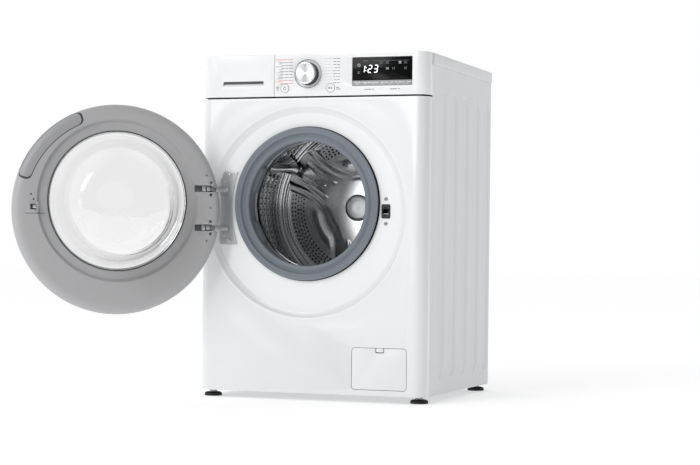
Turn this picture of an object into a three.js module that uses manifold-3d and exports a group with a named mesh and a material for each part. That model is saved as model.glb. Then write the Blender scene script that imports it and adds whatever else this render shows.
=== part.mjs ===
// Front load washing machine: an assembly of separate sub-parts with hinges, slides and spindles.
// Millimetres, +Z up, -Y towards the user. Inside the cabinet group, x = 0 is the middle of the cabinet,
// y = 0 the flat of its front and z = 0 the floor. The exported group's origin is the middle of the
// underside of the front left foot.
import * as THREE from 'three';
import { mergeVertices } from 'three/addons/utils/BufferGeometryUtils.js';
import Module from 'manifold-3d';

const wasm = await Module();
wasm.setup();

// ---- driving dimensions --------------------------------------------------------------------------
const WIDTH = 600;              // over the worktop
const HEIGHT = 850;             // floor to worktop
const DEPTH = 565;              // front plane to rear panel
const GAP = 0.3;                // between pieces that touch
const FIT = 0.4;                // around pieces that pass through a hole or turn in it
const REVEAL = 1;               // seam between two trim pieces
const SHEET = 1.2;              // cabinet sheet steel
const MOULDING = 2.5;           // wall of the plastic mouldings

const TOP_OVERHANG = 3;
const TOP_THICK = 28;
const TOP_CORNER = 6;
const CORNER = 28;              // rounded front corners
const FRONT_WRAP = 38;          // how far the front pieces turn round the corner
const CONSOLE_HEIGHT = 104;
const CONSOLE_SEAM = 4;         // dark gap under the console
const SIDE_FLANGE = 12;
const RIB_COUNT = 5;
const RIB_WIDTH = 56;
const RIB_DEPTH = 0.7;
const RIB_FRONT = 87;           // front plane to the first rib
const RIB_REAR = 22;            // last rib to the back
const RIB_TOP = 56;
const RIB_BOTTOM = 38;

const FOOT_INSET = 28;          // foot centre to the outside of the worktop
const FOOT_FRONT = 40;
const FOOT_BACK = 32;
const FOOT_PAD = 22;
const FOOT_STEM = 5;
const FOOT_GAP = 17;            // floor to the underside of the cabinet
const PAN_THICK = 3;
const PAN_RIM = 28;

const CENTRE_X = -15;           // door, porthole and drum sit a little left of the middle
const RECESS_DROP = 281;        // front panel's top edge to the recess's centre
const RECESS_MARGIN = 35;
const RECESS_BEVEL = 13;
const RECESS_DEPTH = 12;
const DRUM_RISE = 21;           // porthole and drum above the recess's centre
const FRAME_BAND = 67;          // recess to porthole
const COLLAR_LENGTH = 9;

const DOOR_OVERLAP = 8;         // door's edge beyond the recess
const DOOR_FRONT = -46;
const DOOR_SPLIT = -14;         // seam between the outer ring and the inner frame
const DOOR_BACK = 5;
const GLASS_DEPTH = 98;
const GLASS_WALL = 5;
const PIVOT_INSET = 17;         // hinge pin to the door's edge
const PIVOT_Y = -32;
const DOOR_OPEN = 143;          // degrees, the rest pose
const HINGE_PIN = 3;
const ARM_WIDTH = 10;
const ARM_HEIGHT = 12;
const ARM_EYE = 8;
const ARM_DROPS = [-41, 55];    // hinge arms below and above the recess's centre
const HINGE_REACH = 16;         // arm's root to the pin, sideways
const PLATE_HALF = 91;
const PLATE_THICK = 2;
const HOOK_REACH = 20;
const HOOK_FREE = 42;           // hook to the recess's edge

const DISPLAY_MARGIN = 40;
const DISPLAY_WIDE = 153;
const KNOB_RADIUS = 27;
const KNOB_RING = 35;
const KNOB_PROUD = 21;
const KNOB_SHAFT = 3;
const KNOB_GAP = 0.8;           // back of the knob to the console
const BUTTON_RADIUS = 10.5;
const BUTTON_PROUD = 1.5;
const GRIP_DEEP = 16;
const GRIP_TALL = 11;

const TRAY_BACK = 245;
const TRAY_WALL = 2;
const HOUSING_GAP = 3;          // tray to housing
const HOUSING_WALL = 2;

const FLAP_WIDE = 141;
const FLAP_TALL = 102;
const FLAP_THICK = 3;
const FLAP_CORNER = 8;
const FLAP_GAP = 0.7;
const FLAP_MARGIN = 45;
const FLAP_RISE = 14;
const FILTER_RADIUS = 31;

const TUB_SIDE = 30;            // tub to side panel
const TUB_WALL = 4;
const TUB_FRONT = 70;
const DRUM_GAP = 20;            // tub to drum, radially
const DRUM_SHEET = 1.2;
const DRUM_FRONT = 92;
const LIFTER_TALL = 46;
const SHAFT_RADIUS = 15;
const BEARING_WIDTH = 14;
const HUB_RADIUS = 45;
const STATOR_RADIUS = 125;
const MOTOR_CLEAR = 53;         // rotor to rear panel
const MOTOR_DEPTH = 36;
const HUB_DEPTH = 46;
const SPIDER_DEPTH = 13;
const COVER_RADIUS = 165;
const COVER_PROUD = 5;
const FITTING_PROUD = 14;       // hose connectors beyond the rear panel
const DAMPER_REACH = 150;
const SUSPENSION_Y = 275;

// ---- values that follow from them ----------------------------------------------------------------
const HALF = WIDTH / 2 - TOP_OVERHANG;
const TOP_Z = HEIGHT - TOP_THICK;
const CONSOLE_Z = HEIGHT - CONSOLE_HEIGHT;
const FRONT_TOP = CONSOLE_Z - CONSOLE_SEAM;
const SIDE_TOP = TOP_Z - GAP;
const SIDE_FRONT = FRONT_WRAP + GAP;
const INSIDE = HALF - SHEET - GAP;
const FOOT_X = WIDTH / 2 - FOOT_INSET;
const RECESS_Z = FRONT_TOP - RECESS_DROP;
const RECESS_RADIUS = HALF + CENTRE_X - RECESS_MARGIN;
const PORTHOLE = RECESS_RADIUS - FRAME_BAND;
const DRUM_Z = RECESS_Z + DRUM_RISE;
const FLOOR_Y = RECESS_DEPTH + SHEET;
const DOOR_RADIUS = RECESS_RADIUS + DOOR_OVERLAP;
const DOOR_STEP = PORTHOLE + 16;
const GLASS_RADIUS = PORTHOLE - 10;
const PIVOT_X = CENTRE_X - DOOR_RADIUS + PIVOT_INSET;
const ARM_LEVELS = ARM_DROPS.map((drop) => RECESS_Z + drop);
const HOOK_X = CENTRE_X + RECESS_RADIUS - HOOK_FREE;
const HOOK_Z = RECESS_Z + 3;
const TUB_RADIUS = HALF + CENTRE_X - TUB_SIDE;
const TUB_COLLAR = PORTHOLE - 17;
const DRUM_RADIUS = TUB_RADIUS - DRUM_GAP;
const DRUM_MOUTH = PORTHOLE - 15;
const MOTOR_BACK = DEPTH - MOTOR_CLEAR;
const MOTOR_FRONT = MOTOR_BACK - MOTOR_DEPTH;
const TUB_BACK = MOTOR_FRONT - HUB_DEPTH;
const SPIDER_BACK = TUB_BACK - 18;
const DRUM_BACK = SPIDER_BACK - SPIDER_DEPTH - GAP;
const DISPLAY_X1 = HALF - DISPLAY_MARGIN;
const DISPLAY_X0 = DISPLAY_X1 - DISPLAY_WIDE;
const DISPLAY_LOW = CONSOLE_Z + 23;
const DISPLAY_SPLIT = CONSOLE_Z + 35.5;
const DISPLAY_TOP = CONSOLE_Z + 92;
const START = { x: DISPLAY_X0 - 56, z: CONSOLE_Z + 19 };
const KNOB = { x: DISPLAY_X0 - 116, z: CONSOLE_Z + 55 };
const POWER = { x: KNOB.x - 60.5, z: CONSOLE_Z + 20 };
const SEAM_X = POWER.x - 27.5;
const GRIP = { x0: 59 - HALF, x1: SEAM_X - 30, low: CONSOLE_Z + 16, lip: CONSOLE_Z + 39 };
const TRAY = { x0: SIDE_FLANGE + 4 - HALF, x1: SEAM_X - 10, z0: CONSOLE_Z + 14, z1: TOP_Z - 10 };
const FLAP_X1 = HALF - FLAP_MARGIN;
const FLAP_X0 = FLAP_X1 - FLAP_WIDE;
const FLAP_Z0 = FOOT_GAP + FLAP_RISE;
const FLAP_Z1 = FLAP_Z0 + FLAP_TALL;
const FILTER_X = (FLAP_X0 + FLAP_X1) / 2;
const FILTER_Z = (FLAP_Z0 + FLAP_Z1) / 2;
const SPRING_REACH = TUB_RADIUS - 31;
const LUG_TOP = DRUM_Z + TUB_RADIUS - 46;
const DAMPER_TOP = DRUM_Z - TUB_RADIUS + 30;
const TUB_SPLIT = (TUB_FRONT + TUB_BACK) / 2;
const PAN_FLOOR = FOOT_GAP + GAP + PAN_THICK;
const FITTINGS = {
  water_inlet: { x: HALF - 67, z: TOP_Z - 52, radius: 13 },
  drain_outlet: { x: HALF - 57, z: FOOT_GAP + 83, radius: 12 },
  cord_gland: { x: 57 - HALF, z: TOP_Z - 62, radius: 9 },
};
const RING_STEPS = 24;          // a multiple of four, so that turned and extruded rounds line up
const SHAFT_STEPS = 20;
const SMALL_STEPS = 16;

// ---- solid helpers -------------------------------------------------------------------------------
const LAY = {
  x: new THREE.Matrix4().set(0, 0, 1, 0, 1, 0, 0, 0, 0, 1, 0, 0, 0, 0, 0, 1),
  y: new THREE.Matrix4().set(1, 0, 0, 0, 0, 0, 1, 0, 0, 1, 0, 0, 0, 0, 0, 1),
  z: new THREE.Matrix4(),
};

// A closed geometry as a manifold solid, turned the right way out.
function solid(geometry) {
  geometry.deleteAttribute('normal');
  geometry.deleteAttribute('uv');
  const merged = mergeVertices(geometry, 1e-3);
  const at = merged.getAttribute('position');
  const corners = [0, 1, 2].map(() => new THREE.Vector3());
  const faces = [];
  let volume = 0;
  for (let i = 0; i < merged.index.count; i += 3) {
    const face = [0, 1, 2].map((k) => merged.index.getX(i + k));
    if (new Set(face).size === 3) {
      faces.push(face);
      face.forEach((v, k) => corners[k].fromBufferAttribute(at, v));
      volume += corners[0].dot(corners[1].clone().cross(corners[2]));
    }
  }
  const triVerts = new Uint32Array((volume < 0 ? faces.map((f) => f.toReversed()) : faces).flat());
  const vertProperties = new Float32Array(at.array);
  return new wasm.Manifold(new wasm.Mesh({ numProp: 3, vertProperties, triVerts }));
}

// An outline of [a, b] points pushed along an axis: x takes (y, z), y takes (x, z), z takes (x, y).
function extruded(outline, along, start, end) {
  const shape = new THREE.Shape(outline.map(([a, b]) => new THREE.Vector2(a, b)));
  const geometry = new THREE.ExtrudeGeometry(shape, { depth: end - start, bevelEnabled: false });
  geometry.translate(0, 0, start);
  return solid(geometry.applyMatrix4(LAY[along]));
}

function block(x0, x1, y0, y1, z0, z1) {
  const geometry = new THREE.BoxGeometry(x1 - x0, y1 - y0, z1 - z0);
  return solid(geometry.translate((x0 + x1) / 2, (y0 + y1) / 2, (z0 + z1) / 2));
}

function arc(a, b, radius, from, to, steps) {
  return Array.from({ length: steps + 1 }, (_, i) => {
    const turn = THREE.MathUtils.degToRad(from + ((to - from) * i) / steps);
    return [a + radius * Math.cos(turn), b + radius * Math.sin(turn)];
  });
}

function cylinder(along, a, b, radius, start, end, steps = SMALL_STEPS) {
  return extruded(arc(a, b, radius, 0, 360, steps).slice(1), along, start, end);
}

function roundedBox(a0, a1, b0, b1, radius) {
  return [
    ...arc(a1 - radius, b1 - radius, radius, 0, 90, 3),
    ...arc(a0 + radius, b1 - radius, radius, 90, 180, 3),
    ...arc(a0 + radius, b0 + radius, radius, 180, 270, 3),
    ...arc(a1 - radius, b0 + radius, radius, 270, 360, 3),
  ];
}

// A profile of [radius, y] points turned about the line through (x, z) along y.
function turned(profile, x, z, steps = RING_STEPS) {
  const geometry = new THREE.LatheGeometry(profile.map(([r, y]) => new THREE.Vector2(r, y)), steps);
  return solid(geometry.translate(x, 0, z));
}

// A profile of [radius, z] points turned about the upright line through (x, y).
function turnedUpright(profile, x, y, steps = SMALL_STEPS) {
  const geometry = new THREE.LatheGeometry(profile.map(([r, z]) => new THREE.Vector2(r, z)), steps);
  return solid(geometry.rotateX(Math.PI / 2).translate(x, y, 0));
}

function closed(profile) {
  return [...profile, profile[0]];
}

function annulus(inner, outer, y0, y1, x, z, steps = RING_STEPS) {
  return turned(closed([[inner, y0], [outer, y0], [outer, y1], [inner, y1]]), x, z, steps);
}

function tube(path, radius, steps, sides) {
  const ring = arc(0, 0, radius, 0, 360, sides).slice(1);
  const section = new THREE.Shape(ring.map(([a, b]) => new THREE.Vector2(a, b)));
  return solid(new THREE.ExtrudeGeometry(section, { steps, extrudePath: path, bevelEnabled: false }));
}

function finish(color, roughness, metalness = 0) {
  return new THREE.MeshStandardMaterial({ color, roughness, metalness });
}

function add(group, name, body, material) {
  const { vertProperties, triVerts } = body.getMesh();
  const geometry = new THREE.BufferGeometry();
  geometry.setAttribute('position', new THREE.BufferAttribute(vertProperties, 3));
  geometry.setIndex(new THREE.BufferAttribute(triVerts, 1));
  geometry.computeVertexNormals();
  const mesh = new THREE.Mesh(geometry, material);
  mesh.name = name;
  group.add(mesh);
}

const ENAMEL = finish(0xe9ebec, 0.3);
const ENAMEL_SIDE = finish(0xdfe1e2, 0.4);
const WHITE_PLASTIC = finish(0xf0f1f2, 0.35);
const GREY_PLASTIC = finish(0xa4a8ad, 0.4);
const SILVER_PLASTIC = finish(0xc2c5c9, 0.3, 0.5);
const DARK_PLASTIC = finish(0x26282b, 0.4);
const BLACK_GLASS = finish(0x0b0c0e, 0.08);
const CLEAR_GLASS = finish(0xdfe8ea, 0.05);
const RUBBER = finish(0x7f858b, 0.7);
const STEEL = finish(0xb9bcbf, 0.3, 1);
const ZINC = finish(0x9da1a5, 0.45, 1);
const CONCRETE = finish(0x9a9894, 0.9);
const TUB_PLASTIC = finish(0xc9ccd0, 0.5);
const BOARD_GREEN = finish(0x2d6b45, 0.5);
const COPPER = finish(0xb5713c, 0.4, 1);

// ---- cabinet -------------------------------------------------------------------------------------

// The outline of the cabinet's front between two stations, taken inwards by an inset. A station at the
// full half width turns round the rounded corner.
function frontOutline(xLeft, xRight, inset) {
  const radius = CORNER - inset;
  const left = xLeft <= -HALF
    ? [[inset - HALF, FRONT_WRAP], ...arc(CORNER - HALF, CORNER, radius, 180, 270, 8)]
    : [[xLeft, inset]];
  const right = xRight >= HALF
    ? [...arc(HALF - CORNER, CORNER, radius, 270, 360, 8), [HALF - inset, FRONT_WRAP]]
    : [[xRight, inset]];
  return [...left, ...right];
}

function frontWall(xLeft, xRight, wall, z0, z1) {
  const inner = frontOutline(xLeft, xRight, wall).reverse();
  return extruded([...frontOutline(xLeft, xRight, 0), ...inner], 'z', z0, z1);
}

function frontCap(xLeft, xRight, z0, z1) {
  const back = [[xRight, FRONT_WRAP], [xLeft, FRONT_WRAP]].filter(([x]) => Math.abs(x) < HALF);
  return extruded([...frontOutline(xLeft, xRight, 0), ...back], 'z', z0, z1);
}

function sidePanel(side) {
  const behind = DEPTH - SHEET - GAP;
  const flange = HALF - SIDE_FLANGE;
  const inner = HALF - SHEET;
  const outline = [
    [HALF, SIDE_FRONT], [HALF, DEPTH], [inner, DEPTH], [inner, behind], [flange, behind],
    [flange, behind - SHEET], [inner, behind - SHEET], [inner, SIDE_FRONT + SHEET],
    [flange, SIDE_FRONT + SHEET], [flange, SIDE_FRONT],
  ];
  let panel = extruded(outline.map(([x, y]) => [side * x, y]), 'z', FOOT_GAP, SIDE_TOP);
  const clear = [side * (flange - 1), side * inner].sort((a, b) => a - b);
  panel = panel.subtract(block(...clear, SIDE_FRONT - 1, behind + 1, 0, FOOT_GAP + PAN_RIM + 2 * GAP));
  const pitch = (DEPTH - RIB_FRONT - RIB_REAR - RIB_WIDTH) / (RIB_COUNT - 1);
  for (let i = 0; i < RIB_COUNT; i += 1) {
    const y0 = RIB_FRONT + i * pitch;
    const rib = roundedBox(y0, y0 + RIB_WIDTH, FOOT_GAP + RIB_BOTTOM, SIDE_TOP - RIB_TOP, RIB_WIDTH / 2 - 1);
    const faces = [side * (HALF - RIB_DEPTH), side * (HALF + 1)].sort((a, b) => a - b);
    panel = panel.subtract(extruded(rib, 'x', ...faces));
  }
  return panel;
}

function frontPanel() {
  const outer = RECESS_RADIUS + RECESS_BEVEL;
  const dish = turned(closed([
    [PORTHOLE - DRUM_RISE - 10, RECESS_DEPTH], [RECESS_RADIUS, RECESS_DEPTH], [outer, 0],
    [outer + 2, 0], [outer + 2, SHEET], [RECESS_RADIUS + 1, FLOOR_Y], [PORTHOLE - DRUM_RISE - 10, FLOOR_Y],
  ]), CENTRE_X, RECESS_Z);
  const topReturn = frontCap(-HALF, HALF, FRONT_TOP - SHEET, FRONT_TOP)
    .subtract(block(SIDE_FLANGE - HALF, HALF - SIDE_FLANGE, 25, DEPTH, FRONT_TOP - 5, FRONT_TOP + 1));
  const collarBack = FLOOR_Y + COLLAR_LENGTH;
  const collar = annulus(PORTHOLE, PORTHOLE + SHEET, FLOOR_Y - 0.2, collarBack, CENTRE_X, DRUM_Z);
  const flapHole = roundedBox(FLAP_X0, FLAP_X1, FLAP_Z0, FLAP_Z1, FLAP_CORNER);
  return frontWall(-HALF, HALF, SHEET, FOOT_GAP, FRONT_TOP)
    .subtract(cylinder('y', CENTRE_X, RECESS_Z, outer, -1, CORNER, RING_STEPS))
    .add(dish)
    .subtract(cylinder('y', CENTRE_X, DRUM_Z, PORTHOLE, -1, 30, RING_STEPS))
    .add(collar)
    .add(topReturn)
    .subtract(lockNeck(FIT))
    .subtract(extruded(flapHole, 'y', -1, SHEET + 1));
}

function worktop() {
  const outline = roundedBox(-WIDTH / 2, WIDTH / 2, SIDE_FRONT, DEPTH, TOP_CORNER);
  return extruded(outline, 'z', TOP_Z, HEIGHT);
}

function rearPanel() {
  let panel = block(-INSIDE, INSIDE, DEPTH - SHEET, DEPTH, FOOT_GAP, SIDE_TOP)
    .subtract(cylinder('y', CENTRE_X, DRUM_Z, COVER_RADIUS - 18, 0, DEPTH + 1, RING_STEPS));
  for (const { x, z, radius } of Object.values(FITTINGS)) {
    panel = panel.subtract(cylinder('y', x, z, radius + FIT, 0, DEPTH + 1));
  }
  return panel;
}

function rearCover() {
  const face = DEPTH + GAP;
  return turned([
    [0, face + COVER_PROUD], [COVER_RADIUS - 30, face + COVER_PROUD], [COVER_RADIUS - 22, face + SHEET],
    [COVER_RADIUS, face + SHEET], [COVER_RADIUS, face], [COVER_RADIUS - 23, face],
    [COVER_RADIUS - 31, face + COVER_PROUD - SHEET], [0, face + COVER_PROUD - SHEET],
  ], CENTRE_X, DRUM_Z);
}

function footCentres() {
  return [
    ['foot_front_left', -FOOT_X, FOOT_FRONT], ['foot_front_right', FOOT_X, FOOT_FRONT],
    ['foot_rear_left', -FOOT_X, DEPTH - FOOT_BACK], ['foot_rear_right', FOOT_X, DEPTH - FOOT_BACK],
  ];
}

function basePan() {
  const z0 = FOOT_GAP + GAP;
  const front = SHEET + GAP;
  const back = DEPTH - SHEET - GAP;
  const floor = z0 + PAN_THICK;
  const outline = (inset) => [
    [inset - INSIDE, CORNER], [CORNER - INSIDE, front + inset], [INSIDE - CORNER, front + inset],
    [INSIDE - inset, CORNER], [INSIDE - inset, back - inset], [inset - INSIDE, back - inset],
  ];
  let pan = extruded(outline(0), 'z', z0, z0 + PAN_RIM)
    .subtract(extruded(outline(MOULDING), 'z', floor, z0 + PAN_RIM + 1))
    .subtract(block(FLAP_X0 - 5, FLAP_X1 + 5, 0, 8, FLAP_Z0 - 4, FLAP_Z1));
  for (const [, x, y] of footCentres()) {
    pan = pan.add(cylinder('z', x, y, FOOT_STEM + 8, z0, z0 + PAN_RIM));
  }
  for (const [, x, y] of footCentres()) {
    pan = pan.subtract(cylinder('z', x, y, FOOT_STEM + FIT, 0, z0 + PAN_RIM + 1));
  }
  return pan;
}

function foot(x, y) {
  const neck = FOOT_GAP - GAP;
  return turnedUpright([
    [0, 0], [FOOT_PAD - 1, 0], [FOOT_PAD, 2], [FOOT_PAD, 7], [FOOT_PAD - 4, 10], [FOOT_STEM + 5, 11],
    [FOOT_STEM + 5, neck], [FOOT_STEM, neck], [FOOT_STEM, FOOT_GAP + PAN_RIM + 8],
    [0, FOOT_GAP + PAN_RIM + 8],
  ], x, y, 12);
}

function topCrossbar() {
  const z0 = SIDE_TOP - 26;
  const y0 = SUSPENSION_Y - 15;
  const end = INSIDE;
  return block(-end, end, y0, y0 + 30, z0, SIDE_TOP - 6)
    .subtract(block(-end - 1, end + 1, y0 + SHEET, y0 + 30 - SHEET, z0 + SHEET, SIDE_TOP));
}

// ---- control panel and drawer --------------------------------------------------------------------
const GRIP_SECTION = [
  [-1, GRIP.low], [4, GRIP.low + 2], [10, GRIP.low + 9], [15, GRIP.low + 18], [GRIP_DEEP, GRIP.lip + 5],
  [13, GRIP.lip + GRIP_TALL], [6, GRIP.lip + GRIP_TALL], [3.2, GRIP.lip + 8], [3.2, GRIP.lip], [-1, GRIP.lip],
];

function controlPanel() {
  const left = SEAM_X + REVEAL / 2;
  const display = [
    DISPLAY_X0 - GAP, DISPLAY_X1 + GAP, -1, MOULDING + 1, DISPLAY_LOW - GAP, DISPLAY_TOP + GAP,
  ];
  return frontWall(left, HALF, MOULDING, CONSOLE_Z, HEIGHT)
    .add(frontCap(left, HALF, HEIGHT - MOULDING, HEIGHT))
    .add(frontCap(left, HALF, CONSOLE_Z, CONSOLE_Z + MOULDING))
    .add(block(left, left + MOULDING, 1, FRONT_WRAP, CONSOLE_Z, HEIGHT))
    .subtract(block(...display))
    .subtract(cylinder('y', KNOB.x, KNOB.z, KNOB_SHAFT + FIT, -1, MOULDING + 1))
    .subtract(cylinder('y', POWER.x, POWER.z, BUTTON_RADIUS + FIT, -1, MOULDING + 1))
    .subtract(cylinder('y', START.x, START.z, BUTTON_RADIUS + FIT, -1, MOULDING + 1));
}

function controlBoard() {
  const board = block(POWER.x - 9, DISPLAY_X1, 14, 15.6, CONSOLE_Z + 9, HEIGHT - 9);
  return board
    .add(block(DISPLAY_X0 + 6, DISPLAY_X1 - 6, 4, 14.2, DISPLAY_SPLIT + 4, DISPLAY_TOP - 5))
    .add(block(START.x - 8, START.x + 22, 15.4, 27, CONSOLE_Z + 45, CONSOLE_Z + 75));
}

function knob() {
  return turned([
    [0, -KNOB_PROUD], [KNOB_RADIUS - 2, -KNOB_PROUD], [KNOB_RADIUS, 2 - KNOB_PROUD], [KNOB_RADIUS, -KNOB_GAP],
    [KNOB_SHAFT, -KNOB_GAP], [KNOB_SHAFT, 10], [0, 10],
  ], KNOB.x, KNOB.z, SHAFT_STEPS);
}

function knobRing() {
  return annulus(KNOB_RADIUS + 1, KNOB_RING, -1.8, -GAP, KNOB.x, KNOB.z, SHAFT_STEPS);
}

function pressButton({ x, z }) {
  const flange = MOULDING + FIT;
  return turned([
    [0, -BUTTON_PROUD], [BUTTON_RADIUS - 1, -BUTTON_PROUD], [BUTTON_RADIUS, 0.7 - BUTTON_PROUD],
    [BUTTON_RADIUS, flange], [BUTTON_RADIUS + 2, flange], [BUTTON_RADIUS + 2, flange + 1.6],
    [4, flange + 1.6], [4, 9], [0, 9],
  ], x, z, SMALL_STEPS);
}

function drawerFront() {
  const right = SEAM_X - REVEAL / 2;
  const pocket = GRIP_DEEP + MOULDING;
  const scoop = extruded(GRIP_SECTION, 'x', GRIP.x0, GRIP.x1);
  return frontWall(-HALF, right, MOULDING, CONSOLE_Z, HEIGHT)
    .add(frontCap(-HALF, right, HEIGHT - MOULDING, HEIGHT))
    .add(frontCap(-HALF, right, CONSOLE_Z, CONSOLE_Z + MOULDING))
    .add(block(right - MOULDING, right, 1, FRONT_WRAP, CONSOLE_Z, HEIGHT))
    .add(block(GRIP.x0 - 3, GRIP.x1 + 3, 1, pocket, CONSOLE_Z + 1, GRIP.lip + GRIP_TALL + 3))
    .subtract(scoop);
}

function drawerTray() {
  const { x0, x1, z0, z1 } = TRAY;
  const front = GRIP_DEEP + MOULDING + GAP;
  const wide = (x1 - x0 - 4 * TRAY_WALL) / 3;
  let tray = block(x0, x1, front, TRAY_BACK, z0, z1);
  for (let i = 0; i < 3; i += 1) {
    const left = x0 + TRAY_WALL + i * (wide + TRAY_WALL);
    tray = tray.subtract(
      block(left, left + wide, front + TRAY_WALL, TRAY_BACK - TRAY_WALL, z0 + TRAY_WALL, z1 + 1));
  }
  return tray;
}

function softenerCover() {
  const { x0, x1, z0, z1 } = TRAY;
  const wide = (x1 - x0 - 4 * TRAY_WALL) / 3;
  const left = x0 + 2 * TRAY_WALL + wide + GAP;
  const right = left + wide - 2 * GAP;
  const middle = (left + right) / 2;
  const y0 = TRAY_BACK - 110;
  const y1 = TRAY_BACK - TRAY_WALL - GAP;
  return block(left, right, y0, y1, z1 - 6, z1 - 4)
    .add(block(left, right, y0, y0 + 2, z0 + 25, z1 - 4))
    .add(cylinder('z', middle, y1 - 25, 8, z0 + TRAY_WALL + 2, z1 - 5));
}

function dispenserHousing() {
  const gap = HOUSING_GAP;
  const out = gap + HOUSING_WALL;
  const { x0, x1, z0, z1 } = TRAY;
  const front = FRONT_WRAP + 4;
  const spout = { x: x0 + 55, y: TRAY_BACK - 40 };
  return block(x0 - out, x1 + out, front, TRAY_BACK + out, z0 - out, z1 + out)
    .add(cylinder('z', spout.x, spout.y, 16, z0 - 50, z0 - gap - 1))
    .subtract(block(x0 - gap, x1 + gap, front - 1, TRAY_BACK + gap, z0 - gap, z1 + gap))
    .subtract(cylinder('z', spout.x, spout.y, 12, z0 - 51, z0));
}

// ---- door, built shut ----------------------------------------------------------------------------

function armSlots(margin) {
  const reach = PIVOT_X + HINGE_REACH + ARM_WIDTH / 2 + margin;
  const half = ARM_HEIGHT / 2 + margin;
  return ARM_LEVELS.map((z) => block(PIVOT_X - 30, reach, PIVOT_Y - ARM_EYE - 1, 20, z - half, z + half));
}

function doorOuterRing() {
  const r = DOOR_RADIUS;
  const f = DOOR_FRONT;
  const back = DOOR_SPLIT - GAP;
  let ring = turned(closed([
    [r - 65, f + 9], [r - 55, f + 3], [r - 40, f], [r - 17, f], [r - 7, f + 3], [r - 1.5, f + 9],
    [r, f + 16], [r, back], [r - 3, back], [r - 3, f + 17], [r - 5, f + 11], [r - 9, f + 5.5],
    [r - 17, f + 3], [r - 40, f + 3], [r - 53.5, f + 5.5], [r - 62, f + 11],
  ]), CENTRE_X, RECESS_Z);
  for (const slot of armSlots(2)) {
    ring = ring.subtract(slot);
  }
  return ring;
}

function doorWindowCover() {
  const r = DOOR_RADIUS - 65;
  const f = DOOR_FRONT;
  return turned([
    [0, f + 5], [r - 10, f + 7], [r - 0.4, f + 10], [r - 1, f + 13], [r - 12, f + 10.5], [0, f + 8],
  ], CENTRE_X, RECESS_Z);
}

function doorInnerFrame() {
  const r = DOOR_RADIUS;
  const back = DOOR_BACK;
  const rim = turned(closed([
    [r, DOOR_SPLIT], [r, -8], [r - 2, -4], [r - 6, 0], [r - 11, 3.5], [r - 19, back], [r - 110, back],
    [r - 110, back - 3], [r - 20, back - 3], [r - 12, 0.5], [r - 8, -3], [r - 4, -8], [r - 3, DOOR_SPLIT],
  ]), CENTRE_X, RECESS_Z);
  const step = turned(closed([
    [DOOR_STEP + 1, back], [DOOR_STEP - 6, -3], [GLASS_RADIUS, -3], [GLASS_RADIUS, -12],
    [GLASS_RADIUS + 3, -12], [GLASS_RADIUS + 3, -6], [DOOR_STEP - 5, -6], [DOOR_STEP + 3, back - 3],
  ]), CENTRE_X, DRUM_Z);
  const [low, high] = ARM_LEVELS;
  const boss = block(PIVOT_X - 7, PIVOT_X + 7, PIVOT_Y - 5, back - 1, low, high)
    .intersect(cylinder('y', CENTRE_X, RECESS_Z, r - 6.5, PIVOT_Y - 6, back, RING_STEPS));
  let frame = rim
    .subtract(cylinder('y', CENTRE_X, DRUM_Z, DOOR_STEP, -20, 20, RING_STEPS))
    .add(step)
    .add(boss)
    .subtract(block(HOOK_X - 7, HOOK_X + 8, -20, 20, HOOK_Z - 7, HOOK_Z + 7))
    .subtract(cylinder('z', PIVOT_X, PIVOT_Y, HINGE_PIN + GAP, low - 20, high + 20));
  for (const slot of armSlots(2)) {
    frame = frame.subtract(slot);
  }
  return frame;
}

function doorGlass() {
  const r = GLASS_RADIUS;
  const w = GLASS_WALL;
  const d = GLASS_DEPTH;
  return turned([
    [0, d], [r - 110, d - 1], [r - 60, d - 4], [r - 46, d - 14], [r - 30, 45], [r - 20, 14], [r - 10, 0],
    [r - 2, -12.3], [r + 12, -12.3], [r + 12, -16], [r - 10, -16], [r - 16, -4], [r - 25, 10],
    [r - 35, 43], [r - 51, d - 18], [r - 64, d - 4 - w], [r - 110, d - 1 - w], [0, d - w],
  ], CENTRE_X, DRUM_Z);
}

function hingePin() {
  return cylinder('z', PIVOT_X, PIVOT_Y, HINGE_PIN, ARM_LEVELS[0] - 8, ARM_LEVELS[1] + 8, 16);
}

function doorHook() {
  const tip = DOOR_BACK + HOOK_REACH;
  const outline = [
    [-3, -6], [3, -6], [3, tip - 4], [1, tip], [-5, tip - 4], [-5, tip - 8], [-2, tip - 9], [-2, 2], [-3, 0],
  ];
  return extruded(outline.map(([x, y]) => [HOOK_X + x, y]), 'z', HOOK_Z - 4, HOOK_Z + 4);
}

function hingeBracket() {
  const y1 = RECESS_DEPTH - GAP;
  const y0 = y1 - PLATE_THICK;
  const middle = RECESS_Z + 10;
  const limit = CENTRE_X - PORTHOLE - 11;
  let bracket = cylinder('y', CENTRE_X, RECESS_Z, RECESS_RADIUS - 2, y0, y1, RING_STEPS)
    .subtract(cylinder('y', CENTRE_X, DRUM_Z, PORTHOLE + 13, 0, y1 + 1, RING_STEPS))
    .intersect(block(-WIDTH, limit, y0 - 1, y1 + 1, middle - PLATE_HALF, middle + PLATE_HALF));
  const root = PIVOT_X + HINGE_REACH;
  const side = ARM_WIDTH / 2;
  const eye = ARM_EYE * Math.SQRT1_2;
  const arm = [
    [root - side, y0 + 1], [root - side, PIVOT_Y + 16], [PIVOT_X - eye, PIVOT_Y + eye],
    [PIVOT_X + eye, PIVOT_Y - eye], [root + side, PIVOT_Y + 12], [root + side, y0 + 1],
  ];
  for (const z of ARM_LEVELS) {
    const z0 = z - ARM_HEIGHT / 2;
    const z1 = z + ARM_HEIGHT / 2;
    bracket = bracket
      .add(extruded(arm, 'z', z0, z1))
      .add(cylinder('z', PIVOT_X, PIVOT_Y, ARM_EYE, z0, z1))
      .subtract(cylinder('z', PIVOT_X, PIVOT_Y, HINGE_PIN + GAP, z0 - 1, z1 + 1));
  }
  return bracket;
}

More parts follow.
